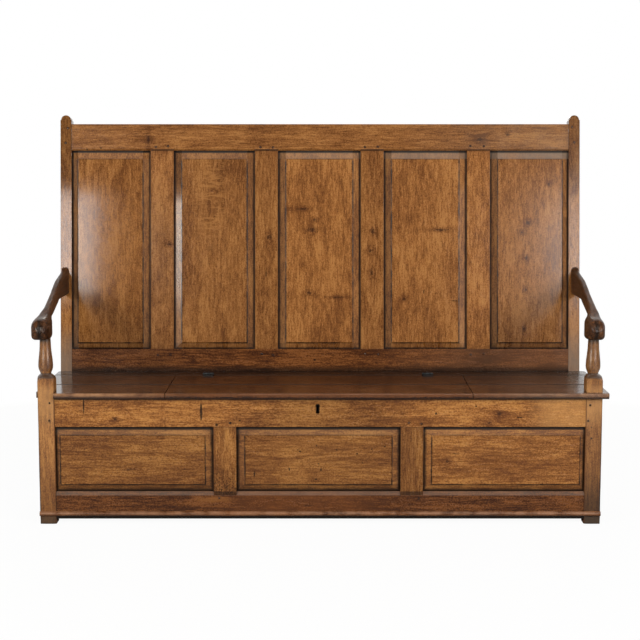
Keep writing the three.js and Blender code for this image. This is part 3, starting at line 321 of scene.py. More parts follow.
def oak(name, tones, grain, seed, *, contrast=1.0, rays=None, knots=(), marks=(), opening=None,
        bevels=None, ends=None, edges=None, pits=0.5, roughness=0.25, rounding=0.0012, relief=0.3,
        dull=None, tint=None, foreshortened=1.0, dusty=0.1, grime=0.008, grooves=(), speckles=0.0,
        coat=None, **constants):
    """Old oak with its grain along one axis.

    Broad stains, streaks, growth rings and dark flecks stretched along the grain pick a tone
    between dark and light, and contrast spreads them. The other arguments add, in this order:

    - rays: an ellipse of pale ripples across the grain.
    - pits and speckles: how dark the wormholes and the small dark specks are.
    - knots and marks: dark ellipses (x, z, half width, half height), the knots inside growth
      rings that bend around them.
    - opening: the rectangle of a panel that shows, whose rim holds dirt and painted shade of the
      recess, about as wide as grime.
    - bevels: the widths of the panel's slopes. dusty is the share of dust and painted
      sheen on the upper one. Dull gives, for the left or right one, the share of its polish that is
      lost, which also darkens it as painted shade, as a number or a function of the paint.
    - ends and edges: the shoulders of a frame member along its grain, and its long sides in x.
      Grime darkens both.
    - tint: a function of the paint and of blotches of noise that lays further coats.
    - grooves: the depths (y) of open joints, dark, low and dull.

    Roughness is a number or a function of the paint, and varies with the streaks and flecks. Coat
    is a function of the paint that says where varnish lies. Foreshortened widens the figure of a
    board that is seen edge-on.
    """
    paint = Paint(name)
    shift = pattern_shift(seed)
    along = "xyz".index(grain)

    def stretched(share):
        scale = [1.0, foreshortened, 1.0]
        scale[along] = share
        return paint.mapped(shift, scale)

    dark, middle, light = tones
    stains = paint.noise(stretched(STAIN_STRETCH), 7.0, 3.0, 0.5, 0.5)
    streaks = paint.noise(stretched(STREAK_STRETCH), 40.0, 6.0, 0.66, 0.6)
    rings = paint.noise(stretched(GRAIN_STRETCH), 180.0, 3.0, 0.68, 0.3)
    flecks = paint.noise(stretched(FLECK_STRETCH), 320.0, 3.0, 0.7, 0.3)
    pores = paint.noise(stretched(PORE_STRETCH), 900.0, 1.0, 0.5)
    tone = (stains - 0.5) * 1.1 + (streaks - 0.5) * 1.4 + (rings - 0.5) * 1.7 + (flecks - 0.5) * 2.2
    tone = tone * contrast + 0.5
    for x, z, half_width, half_height in knots:
        halo = spot(paint, x, z, half_width * 3.2, half_height * 3.2) + (streaks - 0.5) * 1.4
        ripple = calc(paint.tree, "SINE", halo * 16.0)
        tone = tone - halo.fall(0.1, 1.1) * (0.38 + ripple * 0.14)
    paint.colour = paint.ramp(tone, [(0.08, dark), (0.5, middle), (0.92, light)])
    paint.lay(pores.rise(0.56, 0.72) * 0.4, dark)
    paint.lay(flecks.rise(0.58, 0.70) * 0.5, dark)
    if rays:
        flame = paint.noise(paint.mapped(shift, (22.0, 22.0, 120.0)), 1.0, 2.0, 0.6, 0.8)
        patch = spot(paint, *rays) + (streaks - 0.5) * 1.5
        paint.lay(flame.rise(0.46, 0.60) * patch.fall(0.4, 1.1) * 0.6, light)
    if pits:
        cells = paint.add("TexVoronoi", values={"Vector": paint.mapped(shift), "Scale": 60.0})
        chosen = paint.noise(paint.place, 31.0, 1.0).rise(0.58, 0.66)
        dots = Value(paint.tree, cells.outputs["Distance"]).fall(0.08, 0.15) * chosen
        paint.lay(dots * pits, GRIME_AND_SHADE)
    if speckles:
        specks = paint.noise(paint.mapped(shift), 170.0, 2.0, 0.6, 0.5)
        paint.lay(specks.rise(0.54, 0.66) * speckles, dark)
    blotches = paint.noise(paint.place, 24.0, 3.0)
    for knot in knots:
        rim = spot(paint, *knot) + (flecks - 0.5) * 1.8 + (rings - 0.5) * 1.2
        paint.lay(rim.fall(0.0, 1.3) * 0.85, KNOT)
    for mark in marks:
        rim = spot(paint, *mark) + (flecks - 0.5) * 1.0
        paint.lay(rim.fall(0.8, 1.6) * 0.9, GRIME_AND_SHADE)
    if opening:
        # Dirt and painted shade of the frame's recess, in the rim of the opening
        rim = inside(paint, *opening)
        paint.lay(rim.fall(0.002, 0.006 + blotches * grime) * 0.95, GRIME_AND_SHADE)
    if bevels:
        slopes = soil_and_shade_bevels(paint, blotches, streaks, opening, bevels, dusty, grime, dull or {})
    if ends:
        axis = (paint.x, paint.y, paint.z)[along]
        shoulder = (axis - ends[0]).least(ends[1] - axis)
        paint.lay(shoulder.fall(0.0004, 0.0024) * 0.8, GRIME_AND_SHADE)
        paint.lay(shoulder.fall(0.0, 0.022) * blotches * 0.5, dark)
    if edges:
        side = (paint.x - edges[0]).least(edges[1] - paint.x)
        paint.lay(side.fall(0.0, 0.003 + blotches * 0.006) * 0.55, dark)
    if tint:
        tint(paint, blotches)
    height = rings * 0.5 + flecks * 0.4 - pores.rise(0.55, 0.75) * 0.5
    if callable(roughness):
        roughness = roughness(paint)
    gloss = (1.0 + (streaks - 0.5) * 0.8 + (flecks - 0.5) * 0.6) * roughness
    for depth in grooves:
        line = abs(paint.y - depth).fall(0.002, 0.009)
        paint.lay(line * 0.9, GRIME_AND_SHADE)
        height = height - line * 6.0
        gloss = gloss + line * 0.6
    if bevels:
        gloss = gloss + slopes * 0.18
    if coat:
        constants["coat_weight"] = coat(paint)
    return paint.finish(gloss, height, relief, rounding, **constants)


def iron(name, seed):
    """Forged iron: blue-black scale, worn brighter in patches, with hammered relief."""
    paint = Paint(name)
    place = paint.mapped(pattern_shift(seed))
    scale = paint.noise(place, 160.0, 4.0, 0.6)
    worn = paint.noise(place, 45.0, 2.0).rise(0.45, 0.65)
    paint.colour = paint.ramp(scale, [(0.3, IRON_DARK), (0.7, IRON_LIGHT)])
    paint.lay(worn * 0.3, IRON_RUBBED)
    return paint.finish(0.62 - worn * 0.22, scale, 0.6, 0.0005, metallic=0.8)


def dress(node, material):
    """Puts a material into every slot of a frame node's mesh."""
    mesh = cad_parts[node].data
    if not mesh.materials:
        mesh.materials.append(material)
    for slot in range(len(mesh.materials)):
        mesh.materials[slot] = material


def extent(node):
    """A frame node's lowest and highest corner as (x0, x1), (y0, y1), (z0, z1)."""
    low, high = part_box(node)
    return tuple(zip(low, high))


# How far a panel's tongue reaches into its grooves, and how far tenons stand out of a member
TONGUE = 0.0075
TENON = 0.030
MUNTIN_TENON = 0.024

# Widths of a panel's bevels next to a front post, a rear post, a muntin, the lower and upper rail
FRONT_POST_BEVEL = 0.017
REAR_POST_BEVEL = 0.023
MUNTIN_BEVEL = 0.029
LOWER_BEVEL = 0.024
UPPER_BEVEL = 0.030


def panel_faces(node, first, last, post_bevel):
    """The rectangle of a panel that shows, and the widths of its four bevels."""
    (x0, x1), _, (z0, z1) = extent(node)
    left = post_bevel if first else MUNTIN_BEVEL
    right = post_bevel if last else MUNTIN_BEVEL
    opening = (x0 + TONGUE, x1 - TONGUE, z0 + TONGUE, z1 - TONGUE)
    return {"opening": opening, "bevels": (left, right, LOWER_BEVEL, UPPER_BEVEL)}


def shoulders(node, axis, tenon):
    """Where a member's tenons end, along x or z."""
    low, high = extent(node)["xyz".index(axis)]
    return low + tenon, high - tenon


# Knots and small marks seen on each member: x, z, half width and half height
KNOTS = {
    "front_top_rail": (
        (0.597, 0.375, 0.012, 0.010), (-0.683, 0.357, 0.010, 0.006), (0.563, 0.344, 0.006, 0.004),
    ),
    "front_panel_1": ((-0.640, 0.185, 0.020, 0.003),),
    "front_panel_3": ((0.426, 0.212, 0.010, 0.006),),
    "back_top_rail": (
        (-0.622, 1.281, 0.007, 0.022), (0.680, 1.297, 0.008, 0.005), (0.579, 1.279, 0.016, 0.010),
    ),
    "back_bottom_rail": ((0.601, 0.480, 0.028, 0.014), (-0.459, 0.483, 0.006, 0.004)),
    "back_muntin_1": ((-0.546, 0.903, 0.010, 0.006),),
    "back_muntin_2": ((-0.185, 0.929, 0.010, 0.011),),
    "back_muntin_3": (
        (0.191, 0.950, 0.009, 0.012), (0.184, 0.880, 0.010, 0.009), (0.186, 0.800, 0.008, 0.014),
    ),
    "back_panel_3": (
        (-0.040, 0.728, 0.012, 0.008), (0.061, 0.712, 0.026, 0.004), (-0.066, 1.030, 0.026, 0.005),
        (-0.019, 0.991, 0.009, 0.008), (-0.030, 0.955, 0.020, 0.010),
    ),
    "back_panel_4": ((0.304, 0.706, 0.008, 0.007), (0.438, 0.955, 0.030, 0.006)),
    "back_panel_5": (
        (0.829, 1.120, 0.006, 0.007), (0.755, 0.980, 0.010, 0.009), (0.731, 0.946, 0.006, 0.007),
        (0.746, 0.854, 0.009, 0.007), (0.746, 0.739, 0.006, 0.008), (0.739, 0.599, 0.005, 0.007),
    ),
}
MARKS = {
    "front_top_rail": (
        (-0.787, 0.401, 0.0022, 0.022), (-0.396, 0.381, 0.0035, 0.024),
        (-0.345, 0.338, 0.004, 0.004), (0.386, 0.376, 0.003, 0.003), (0.519, 0.400, 0.003, 0.002),
        (0.825, 0.414, 0.003, 0.002), (-0.268, 0.352, 0.003, 0.002), (0.665, 0.362, 0.009, 0.0015),
    ),
    "front_bottom_rail": ((-0.040, 0.063, 0.012, 0.003),),
    "front_panel_2": (
        (-0.012, 0.266, 0.002, 0.002), (-0.067, 0.247, 0.003, 0.002), (0.055, 0.252, 0.002, 0.002),
        (0.124, 0.239, 0.003, 0.002), (0.172, 0.254, 0.002, 0.002), (0.216, 0.263, 0.003, 0.002),
        (-0.005, 0.205, 0.002, 0.002), (0.003, 0.184, 0.002, 0.004), (0.142, 0.208, 0.002, 0.002),
        (-0.103, 0.186, 0.002, 0.005), (-0.014, 0.152, 0.004, 0.002), (-0.220, 0.170, 0.002, 0.008),
    ),
    "front_panel_3": ((0.742, 0.135, 0.005, 0.002), (0.452, 0.239, 0.010, 0.001)),
    "front_post_left": (
        (-0.900, 0.411, 0.002, 0.002), (-0.899, 0.374, 0.003, 0.002), (-0.900, 0.347, 0.002, 0.003),
    ),
    "front_post_right": (
        (0.893, 0.351, 0.003, 0.002), (0.905, 0.329, 0.002, 0.002), (0.905, 0.292, 0.003, 0.003),
    ),
    "back_top_rail": ((-0.794, 1.249, 0.003, 0.002), (-0.844, 1.245, 0.003, 0.002)),
    "back_bottom_rail": ((-0.020, 0.487, 0.004, 0.003),),
    "back_muntin_2": ((-0.196, 0.796, 0.0015, 0.010),),
    "back_panel_4": ((0.376, 0.732, 0.001, 0.007), (0.487, 0.699, 0.010, 0.0012)),
}

# Middle of the keyhole's round top: x and z
KEY_BOW = (-0.008, 0.401)

# Pegs that hold the tenons: x and z
PEGS = {
    "back_top_rail": (
        (-0.595, 1.253), (-0.551, 1.256), (-0.216, 1.253), (-0.171, 1.252), (0.162, 1.253),
        (0.209, 1.254), (0.544, 1.257), (0.593, 1.256),
    ),
    "back_bottom_rail": (
        (-0.588, 0.504), (-0.542, 0.505), (-0.211, 0.508), (-0.171, 0.504), (0.163, 0.508),
        (0.210, 0.507), (0.546, 0.506), (0.592, 0.508),
    ),
    "rear_post_left": ((-0.913, 1.321), (-0.921, 1.268)),
    "rear_post_right": ((0.912, 1.325), (0.920, 1.270)),
    "front_post_left": ((-0.900, 0.411), (-0.902, 0.352)),
    "front_post_right": ((0.893, 0.351), (0.899, 0.404)),
    "front_top_rail": ((-0.300, 0.344), (0.296, 0.345), (0.338, 0.341)),
    "front_bottom_rail": ((-0.338, 0.088), (0.331, 0.087)),
}
PEG_RADIUS = 0.0036
PEG_PROUD = 0.0007
PEG_RING = 1.1 * PEG_RADIUS

# The back keeps more polish than the rest, and the front has only old wax
POLISH = {"roughness": 0.17, "relief": 0.12}
GLEAM = {"roughness": 0.08, "relief": 0.05}
WAX = {"specular_ior_level": 0.35}

# Height of the seat's top and of the sill's chamfer
SEAT = 0.447
CHAMFER = 0.014


def marks_on(node):
    """A node's small marks and the dark rings around its pegs."""
    rings = tuple((x, z, PEG_RING, PEG_RING) for x, z in PEGS.get(node, ()))
    return MARKS.get(node, ()) + rings


def oak_node(node, tones, grain, seed, **options):
    """Dresses a node in oak, with the knots and marks listed for it."""
    wood = oak(node, tones, grain, seed, knots=KNOTS.get(node, ()), marks=marks_on(node), **options)
    dress(node, wood)


def dress_front():
    """Honey oak on the rails, muntins and panels of the front, russet oak on its lower rail."""
    chamfer = extent("front_bottom_rail")[2][1] - CHAMFER

    def keyhole_and_seat_shadow(paint, blotches):
        x, z = KEY_BOW
        # Painted keyhole: the shade inside the hole, laid as a dark mark
        bow = spot(paint, x, z, 0.0092, 0.0085) + (blotches - 0.5) * 0.5
        slot = spot(paint, x, z - 0.013, 0.0075, 0.016) + (blotches - 0.5) * 0.5
        paint.lay(bow.least(slot).fall(0.7, 1.15) * 0.85, GRIME_AND_SHADE)
        # Painted shadow of the seat's nosing along the top of the rail
        paint.lay(paint.z.rise(0.4205, 0.4245 - blotches * 0.001) * 0.9, GRIME_AND_SHADE)
        darkened = spot(paint, 0.02, 0.36, 0.34, 0.15) + (blotches - 0.5) * 1.2
        paint.darken(darkened.fall(0.4, 1.1), 0.72)
        paint.lay(paint.x.rise(0.66, 0.78) * (0.15 + blotches * 0.5), SUNNED_AND_LIT)

    def patch_and_bead_shadow(paint, blotches):
        patch = spot(paint, -0.352, 0.083, 0.085, 0.012) + (blotches - 0.5) * 1.5
        paint.lay(patch.fall(0.3, 1.1) * 0.6, HONEY[1])
        middle = abs(paint.x + 0.05).fall(0.1, 0.4)
        paint.lay(middle * blotches * 0.8, SILL_BROWN)
        # Painted shadow under the bead along the foot of the rail
        paint.lay(paint.z.fall(0.028, 0.034), GRIME_AND_SHADE)
        dust = (paint.z - chamfer).rise(0.0, 0.004) * (0.1 + blotches * 0.3)
        paint.lay(dust, PALE_DUST_AND_SHEEN)

    def dull_sill(paint):
        return 0.25 + (paint.z - chamfer).rise(0.0, 0.004) * 0.4

    def burred(paint, blotches):
        figure = paint.noise(paint.place, 110.0, 3.0, 0.6, 2.5).rise(0.50, 0.58)
        paint.darken(figure * paint.z.fall(0.12, 0.24), 0.25)

    def bead_wear_light_and_shade(paint, blotches):
        # Wear and painted light on the bead's upper half
        crest = paint.z.rise(0.030, 0.036) * blotches.rise(0.3, 0.6)
        paint.lay(crest * 0.6, WORN_LIT_BEAD)
        # Painted shade on the bead's underside
        paint.lay(paint.z.fall(0.0245, 0.0300), GRIME_AND_SHADE)

    oak_node("front_top_rail", shaded(HONEY, 1.12), "x", 21, contrast=1.1, speckles=0.5,
             ends=shoulders("front_top_rail", "x", TENON), tint=keyhole_and_seat_shadow, **WAX)
    oak_node("front_bottom_rail", RUSSET, "x", 22, contrast=1.3, speckles=0.5, roughness=dull_sill,
             ends=shoulders("front_bottom_rail", "x", TENON), tint=patch_and_bead_shadow, **WAX)
    for number, share, tint in ((1, 0.9, burred), (2, 0.75, None)):
        node = f"front_muntin_{number}"
        oak_node(node, shaded(HONEY, share), "z", 30 + number, tint=tint,
                 ends=shoulders(node, "z", MUNTIN_TENON), edges=extent(node)[0], **WAX)
    for number, share in ((1, 0.84), (2, 0.84), (3, 1.02)):
        node = f"front_panel_{number}"
        faces = panel_faces(node, number == 1, number == 3, FRONT_POST_BEVEL)
        oak_node(node, shaded(HONEY, share), "x", 40 + number, pits=0.8, grime=0.018,
                 speckles=0.6, **faces, **WAX)
    oak_node("base_moulding", RUSSET, "x", 51, tint=bead_wear_light_and_shade)


def dress_back():
    """Golden oak on the raked back, and russet oak on its lower rail."""

    def post_shade_and_sheen(paint, blotches):
        # Painted shade on the upper post
        paint.darken(paint.z.rise(1.02, 1.18), 0.68)
        # Pale painted sheen on the lower post
        paint.lay(paint.z.fall(0.48, 0.64) * (0.45 + blotches * 0.5), PALE_DUST_AND_SHEEN)

    def greyer(paint, blotches):
        paint.lay(paint.x.rise(0.2, 0.8) * (0.05 + blotches * 0.3), PALE_DUST_AND_SHEEN)

    def fade_and_seat_shade(paint, blotches):
        paint.darken(paint.x.fall(-0.7, -0.2), 0.86)
        paint.lay(paint.x.rise(0.1, 0.6) * (0.2 + blotches * 0.3), FADED_RAIL)
        # Painted shade, with dirt, where the rail meets the seat
        foot = paint.z.fall(SEAT + 0.004, SEAT + 0.016 + blotches * 0.02)
        paint.lay(foot * 0.8, GRIME_AND_SHADE)

    def darker_below(paint, blotches):
        paint.darken(paint.z.fall(0.9, 1.2), 0.8)

    def arm_shadow(paint, blotches):
        # Painted shadow of the arm over the panel's lower part
        paint.darken(paint.z.fall(0.60, 0.84), 0.78)

    def polished_low(paint):
        return paint.z.rise(1.04, 1.14) + paint.z.fall(0.60, 0.74) * 0.4

    def half_polished(paint):
        return polished_low(paint).most(0.55)

    for seed, node, finish in ((61, "rear_post_left", GLEAM), (62, "rear_post_right", POLISH)):
        oak_node(node, GOLDEN, "z", seed, edges=extent(node)[0], tint=post_shade_and_sheen, **finish)
    oak_node("back_top_rail", GOLDEN, "x", 63, rays=(-0.310, 1.285, 0.050, 0.030), speckles=0.3,
             ends=shoulders("back_top_rail", "x", TENON), tint=greyer, **POLISH)
    oak_node("back_bottom_rail", shaded(RUSSET, 1.1), "x", 64, contrast=1.2, pits=0.8,
             speckles=0.3, ends=shoulders("back_bottom_rail", "x", TENON), relief=0.1, tint=fade_and_seat_shade,
             specular_ior_level=0.2)
    for number, share in ((1, 1.1), (2, 0.95), (3, 1.0), (4, 1.2)):
        node = f"back_muntin_{number}"
        oak_node(node, shaded(GOLDEN, share), "z", 70 + number,
                 ends=shoulders(node, "z", MUNTIN_TENON), edges=extent(node)[0],
                 tint=darker_below if number == 1 else None, **POLISH)
    # Each panel's number, lightness and share of dust and painted sheen on its upper bevel
    panels = ((1, 1.0, 0.0), (2, 0.95, 0.05), (3, 1.16, 0.35), (4, 1.12, 0.5), (5, 1.06, 0.65))
    for number, share, dusty in panels:
        node = f"back_panel_{number}"
        faces = panel_faces(node, number == 1, number == 5, REAR_POST_BEVEL)
        dull = {
            "left": polished_low if number == 2 else 1.0,
            "right": half_polished if number == 4 else 1.0,
        }
        rays = (-0.400, 1.070, 0.070, 0.200) if number == 2 else None
        oak_node(node, shaded(GOLDEN, share), "z", 80 + number, rays=rays, dull=dull,
                 dusty=dusty, tint=arm_shadow if number in (1, 5) else None,
                 **faces, **(GLEAM if number == 1 else POLISH))


def dress_ends_and_rear():
    """Russet oak on the box's ends and dry, unwaxed oak where no one looks."""
    for seed, side in ((100, "left"), (110, "right")):
        for row, part in enumerate(("side_top_rail", "side_bottom_rail", "side_panel")):
            node = f"{part}_{side}"
            dress(node, oak(node, RUSSET, "y", seed + row))
    dry = {
        "x": ("rear_top_rail", "rear_bottom_rail", "rear_panel_1", "rear_panel_2",
              "floor_board_1", "floor_board_2", "floor_board_3"),
        "y": ("lid_batten_1", "lid_batten_2", "seat_bearer_1", "seat_bearer_2", "floor_bearer"),
        "z": ("rear_muntin",),
    }
    for grain, nodes in dry.items():
        for seed, node in enumerate(nodes):
            dress(node, oak(node, DRY, grain, 130 + seed, roughness=0.75))


def dress_seat():
    """Dark, polished oak with a worn front edge on the seat, and bare oak underneath."""
    boards = ("seat_left_front_board", "seat_left_rear_board", "seat_right_front_board",
              "seat_right_rear_board", "seat_rear_strip", "lid_front_board", "lid_rear_board")
    front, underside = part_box("lid_front_board")[0][1:]
    joints = [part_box(node)[1][1] for node in ("lid_front_board", "lid_rear_board")]

    def below(paint):
        return (paint.z - underside).fall(0.0002, 0.0012)

    def seat_wear_sheen_and_shade(paint, blotches):
        edge = (paint.y - front).fall(0.001, 0.010) * paint.z.rise(0.434, 0.442)
        paint.lay(edge * (0.45 + blotches * 0.5), RUBBED_EDGE)
        ends = paint.x.fall(-0.75, -0.45).most(paint.x.rise(0.5, 0.9) * 0.6)
        paint.lay(edge * ends * blotches.rise(0.35, 0.6) * 0.8, BARE_EDGE)
        # Pale dust and a painted sheen towards both ends of the seat
        paint.lay(paint.x.rise(0.45, 0.8) * (0.15 + blotches * 0.25), PALE_DUST_AND_SHEEN)
        paint.lay(paint.x.fall(-0.7, -0.4) * (0.1 + blotches * 0.2), PALE_DUST_AND_SHEEN)
        # Painted shade towards the back of the seat
        paint.darken((paint.y - joints[0]).rise(-0.05, 0.15), 0.62)
        paint.darken((paint.y - joints[1]).rise(0.0, 0.02), 0.5)
        # Painted shade on the lower part of the nosing
        paint.lay(paint.z.fall(0.430, 0.437) * 0.7, GRIME_AND_SHADE)
        grain = paint.noise(paint.mapped((0.0, 0.0, 0.0), (0.08, 1.0, 1.0)), 90.0, 4.0, 0.65)
        bare = paint.ramp(grain, [(0.3, DRY_DARK), (0.7, DRY[0])])
        paint.lay(below(paint), bare)

    def satin(paint):
        smooth_end = paint.x.fall(-0.89, -0.82) * 0.12
        dull_end = paint.x.rise(0.8, 0.89) * 0.08
        return 0.19 - smooth_end + dull_end + below(paint) * 0.55

    for seed, node in enumerate(boards):
        oak_node(node, SEAT_BROWN, "x", 150 + seed, contrast=1.7, roughness=satin, tint=seat_wear_sheen_and_shade,
                 relief=0.2, foreshortened=0.5, grooves=joints)


def make_piece(name, points, faces, material, body, slot, *replaced):
    """A smooth-shaded piece from arrays of points and faces, riding on a body of the frame."""
    mesh = bpy.data.meshes.new(name)
    mesh.from_pydata(np.asarray(points).tolist(), [], faces)
    mesh.polygons.foreach_set("use_smooth", np.ones(len(mesh.polygons), dtype=bool))
    mesh.materials.append(material)
    piece = bpy.data.objects.new(name, mesh)
    bpy.context.scene.collection.objects.link(piece)
    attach(piece, body)
    if replaced:
        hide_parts(*replaced)


def skin(rings, start_pole, end_pole, flip=False):
    """Points and faces of a closed tube.

    Quads join rings of shape (rows, around, 3), and a fan of triangles closes each end.
    """
    rows, around, _ = rings.shape
    points = np.concatenate([rings.reshape(-1, 3), [start_pole], [end_pole]])
    row, column = np.meshgrid(np.arange(rows - 1), np.arange(around), indexing="ij")
    here = row * around + column
    beside = row * around + (column + 1) % around
    quads = np.stack([here, beside, beside + around, here + around], axis=-1).reshape(-1, 4)
    first = np.arange(around)
    after = (first + 1) % around
    last = (rows - 1) * around
    start_fan = np.stack([after, first, np.full(around, rows * around)], axis=-1)
    end_fan = np.stack([last + first, last + after, np.full(around, rows * around + 1)], axis=-1)
    if flip:
        quads, start_fan, end_fan = quads[:, ::-1], start_fan[:, ::-1], end_fan[:, ::-1]
    return points, quads.tolist() + start_fan.tolist() + end_fan.tolist()


def eased(columns, width):
    """Rows of samples averaged under a bell of that many rows.

    This rounds the corners between straight stretches.
    """
    reach = np.arange(-3 * width, 3 * width + 1)
    bell = np.exp(-0.5 * (reach / width) ** 2)
    bell = bell / bell.sum()
    padded = np.pad(columns, ((3 * width, 3 * width), (0, 0)), mode="edge")
    return np.stack([np.convolve(column, bell, mode="valid") for column in padded.T], axis=1)


# Sizes and places of the frame that the smooth pieces share with its own nodes
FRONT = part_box("front_post_left")[0][1]
POST = 0.055
HALF_SPAN = 0.940
HAND_BOTTOM = 0.622
BACK_FOOT = FRONT + 0.463
RAKE = math.radians(6.5)

# Arms: how far their tops rise over the hand's underside, how far the hand reaches past the post,
# and how high over the seat the middle of their rear end lies
ARM_RISE = 0.199
ARM_REACH = 0.024
ARM_END = 0.374

# Inner and outer side of an arm, how far the hand flares inwards, the arm is waisted and the hand
# spreads outwards, and how far both hands are shifted to the left
ARM_INSIDE = 0.900
ARM_OUTSIDE = 0.937
ARM_FLARE = 0.012
ARM_WAIST = 0.024
HAND_SPREAD = 0.014
HAND_SHIFT = 0.007

# Carving of the hand: its middle, the length of its rounded nose and the depth of its crease
HAND_MIDDLE = 0.9195
NOSE = 0.030
CREASE = 0.009

# Rows of the nose and of the rest, steps of a rounded corner, and the share of the arm at which it
# starts to lean with the rear post and over which it does
NOSE_ROWS = 60
ARM_ROWS = 170
CORNER_STEPS = 14
LEAN_START = 0.7
LEAN_LENGTH = 0.3

# Way along the arm, top, underside, spreads inwards and outwards, roundings above and below
ARM_SHARES = (
    (0.000, 0.200, 0.070, 0.25, 0.25, 0.48, 0.45),
    (0.011, 0.280, 0.030, 0.60, 0.70, 0.46, 0.38),
    (0.036, 0.335, 0.005, 0.95, 0.95, 0.44, 0.26),
    (0.075, 0.358, 0.000, 1.00, 1.00, 0.42, 0.20),
    (0.130, 0.368, 0.000, 1.00, 1.00, 0.40, 0.18),
    (0.163, 0.382, 0.020, 0.85, 0.85, 0.40, 0.22),
    (0.190, 0.402, 0.110, 0.30, 0.60, 0.40, 0.25),
    (0.217, 0.426, 0.270, -0.05, 0.35, 0.40, 0.25),
    (0.250, 0.460, 0.320, -0.20, 0.15, 0.40, 0.22),
    (0.330, 0.530, 0.350, -0.30, -0.05, 0.38, 0.20),
    (0.430, 0.610, 0.405, -0.38, -0.12, 0.36, 0.18),
    (0.520, 0.680, 0.465, -0.40, -0.15, 0.34, 0.16),
    (0.575, 0.735, 0.505, -0.42, -0.15, 0.32, 0.14),
    (0.585, 0.745, 0.530, -0.42, -0.15, 0.32, 0.10),
    (0.700, 0.835, 0.527, -0.42, -0.10, 0.30, 0.10),
    (0.850, 0.920, 0.525, -0.42, 0.00, 0.28, 0.10),
    (1.000, 1.000, 0.525, -0.42, 0.00, 0.28, 0.10),
)


def arm_sections(way, nose_end, side):
    """Both sides, the underside and top, and the lower and upper rounding at each way.

    The shares are interpolated and eased past the nose, so that the facets of the solid arm
    become smooth. The roundings are shares of the smaller of the section's two sizes.
    """
    table = np.array(ARM_SHARES)
    columns = np.stack([np.interp(way, table[:, 0], column) for column in table.T[1:]], axis=1)
    keep = np.clip((way - nose_end) / 0.03, 0.0, 1.0)[:, None]
    columns = columns * (1.0 - keep) + eased(columns, 2) * keep
    top, bottom, inner, outer, round_top, round_bottom = columns.T
    round_top = round_top + 0.07 * np.clip((way - 0.2) / 0.1, 0.0, 1.0)
    shift = -side * HAND_SHIFT * np.maximum(np.maximum(inner, outer), 0.0)
    x0 = ARM_INSIDE - np.where(inner > 0.0, ARM_FLARE, ARM_WAIST) * inner + shift
    x1 = ARM_OUTSIDE + HAND_SPREAD * outer + shift
    z0 = HAND_BOTTOM + ARM_RISE * bottom
    z1 = HAND_BOTTOM + ARM_RISE * top
    small = np.minimum(x1 - x0, z1 - z0)
    return [item[:, None] for item in (x0, x1, z0, z1, small * round_bottom, small * round_top)]


def arm_rings(side):
    """Rounded sections along an arm, from the hand to the rear post.

    Each section is a rectangle with quarter circles at its corners. Its rear end leans with the
    post. The front of the hand closes as a quarter of an ellipse and is carved into two upright
    lobes, each a flattened half circle across, whose depth falls off as a bell along the arm.
    """
    full = BACK_FOOT + ARM_END * math.tan(RAKE)
    front = FRONT - ARM_REACH
    turn = np.linspace(0.03, math.pi / 2, NOSE_ROWS)
    nose_way = NOSE * (1.0 - np.cos(turn)) / (full - front)
    way = np.concatenate([nose_way, np.linspace(nose_way[-1], 1.0, ARM_ROWS)[1:]])
    x0, x1, z0, z1, r0, r1 = arm_sections(way, nose_way[-1], side)
    way = way[:, None]
    quarter = np.linspace(0.0, math.pi / 2, CORNER_STEPS)
    corners = ((x1 - r0, z0 + r0, r0, -math.pi / 2), (x1 - r1, z1 - r1, r1, 0.0),
               (x0 + r1, z1 - r1, r1, math.pi / 2), (x0 + r0, z0 + r0, r0, math.pi))
    xs = np.concatenate([x + r * np.cos(start + quarter) for x, _, r, start in corners], axis=1)
    zs = np.concatenate([z + r * np.sin(start + quarter) for _, z, r, start in corners], axis=1)
    rear = BACK_FOOT + (zs - SEAT) * math.tan(RAKE)
    straight = front + way * (full - front)
    bend = np.clip((way - LEAN_START) / LEAN_LENGTH, 0.0, 1.0)
    bend = bend * bend * (3.0 - 2.0 * bend)
    ys = straight * (1.0 - bend) + rear * bend
    middle = (x0 + x1) / 2
    level = (z0 + z1) / 2
    nose = np.minimum((straight - front) / NOSE, 1.0)
    swell = np.maximum(1.0 - (1.0 - nose) ** 2.0, 0.0) ** 0.42
    xs = middle + (xs - middle) * swell
    zs = level + (zs - level) * swell
    reach = np.minimum(np.abs(xs - middle) / ((x1 - x0) / 2), 1.0)
    lobes = (1.0 - (2.0 * reach - 1.0) ** 2) ** 0.6
    ys = ys + CREASE * (1.0 - lobes) * np.exp(-(way / 0.07) ** 2)
    return np.stack([side * xs, ys, zs], axis=-1)


def make_arms():
    """Smooth arms with carved hands, in place of the frame's faceted ones."""

    def darkened(paint, blotches):
        # Painted shade in the crease between the hand's two lobes
        from_middle = abs(abs(paint.x + HAND_SHIFT) - HAND_MIDDLE)
        fold = from_middle.fall(0.002, 0.011) * (paint.y - FRONT).fall(-0.02, 0.03)
        paint.lay(fold * 0.9, GRIME_AND_SHADE)
        # Painted shade along the underside of the hand
        below = paint.z.fall(HAND_BOTTOM, HAND_BOTTOM + 0.010)
        paint.lay(below * 0.8, GRIME_AND_SHADE)

    def dull_hand(paint):
        return 0.45 - (paint.y - FRONT).fall(-0.01, 0.04) * 0.13

    for side, name, share in ((-1, "left", 1.1), (1, "right", 1.3)):
        rings = arm_rings(side)
        start = rings[0].mean(axis=0)
        end = rings[-1].mean(axis=0)
        points, faces = skin(rings, start, end, flip=side < 0)
        wood = oak(f"arm_oak_{name}", shaded(ARM_BROWN, share), "y", 160 + side, rounding=None,
                   roughness=dull_hand, relief=0.05, pits=0.3, tint=darkened,
                   specular_ior_level=0.25)
        make_piece(f"smooth_arm_{name}", points, faces, wood, "frame", "oak_dark", f"arm_{name}")


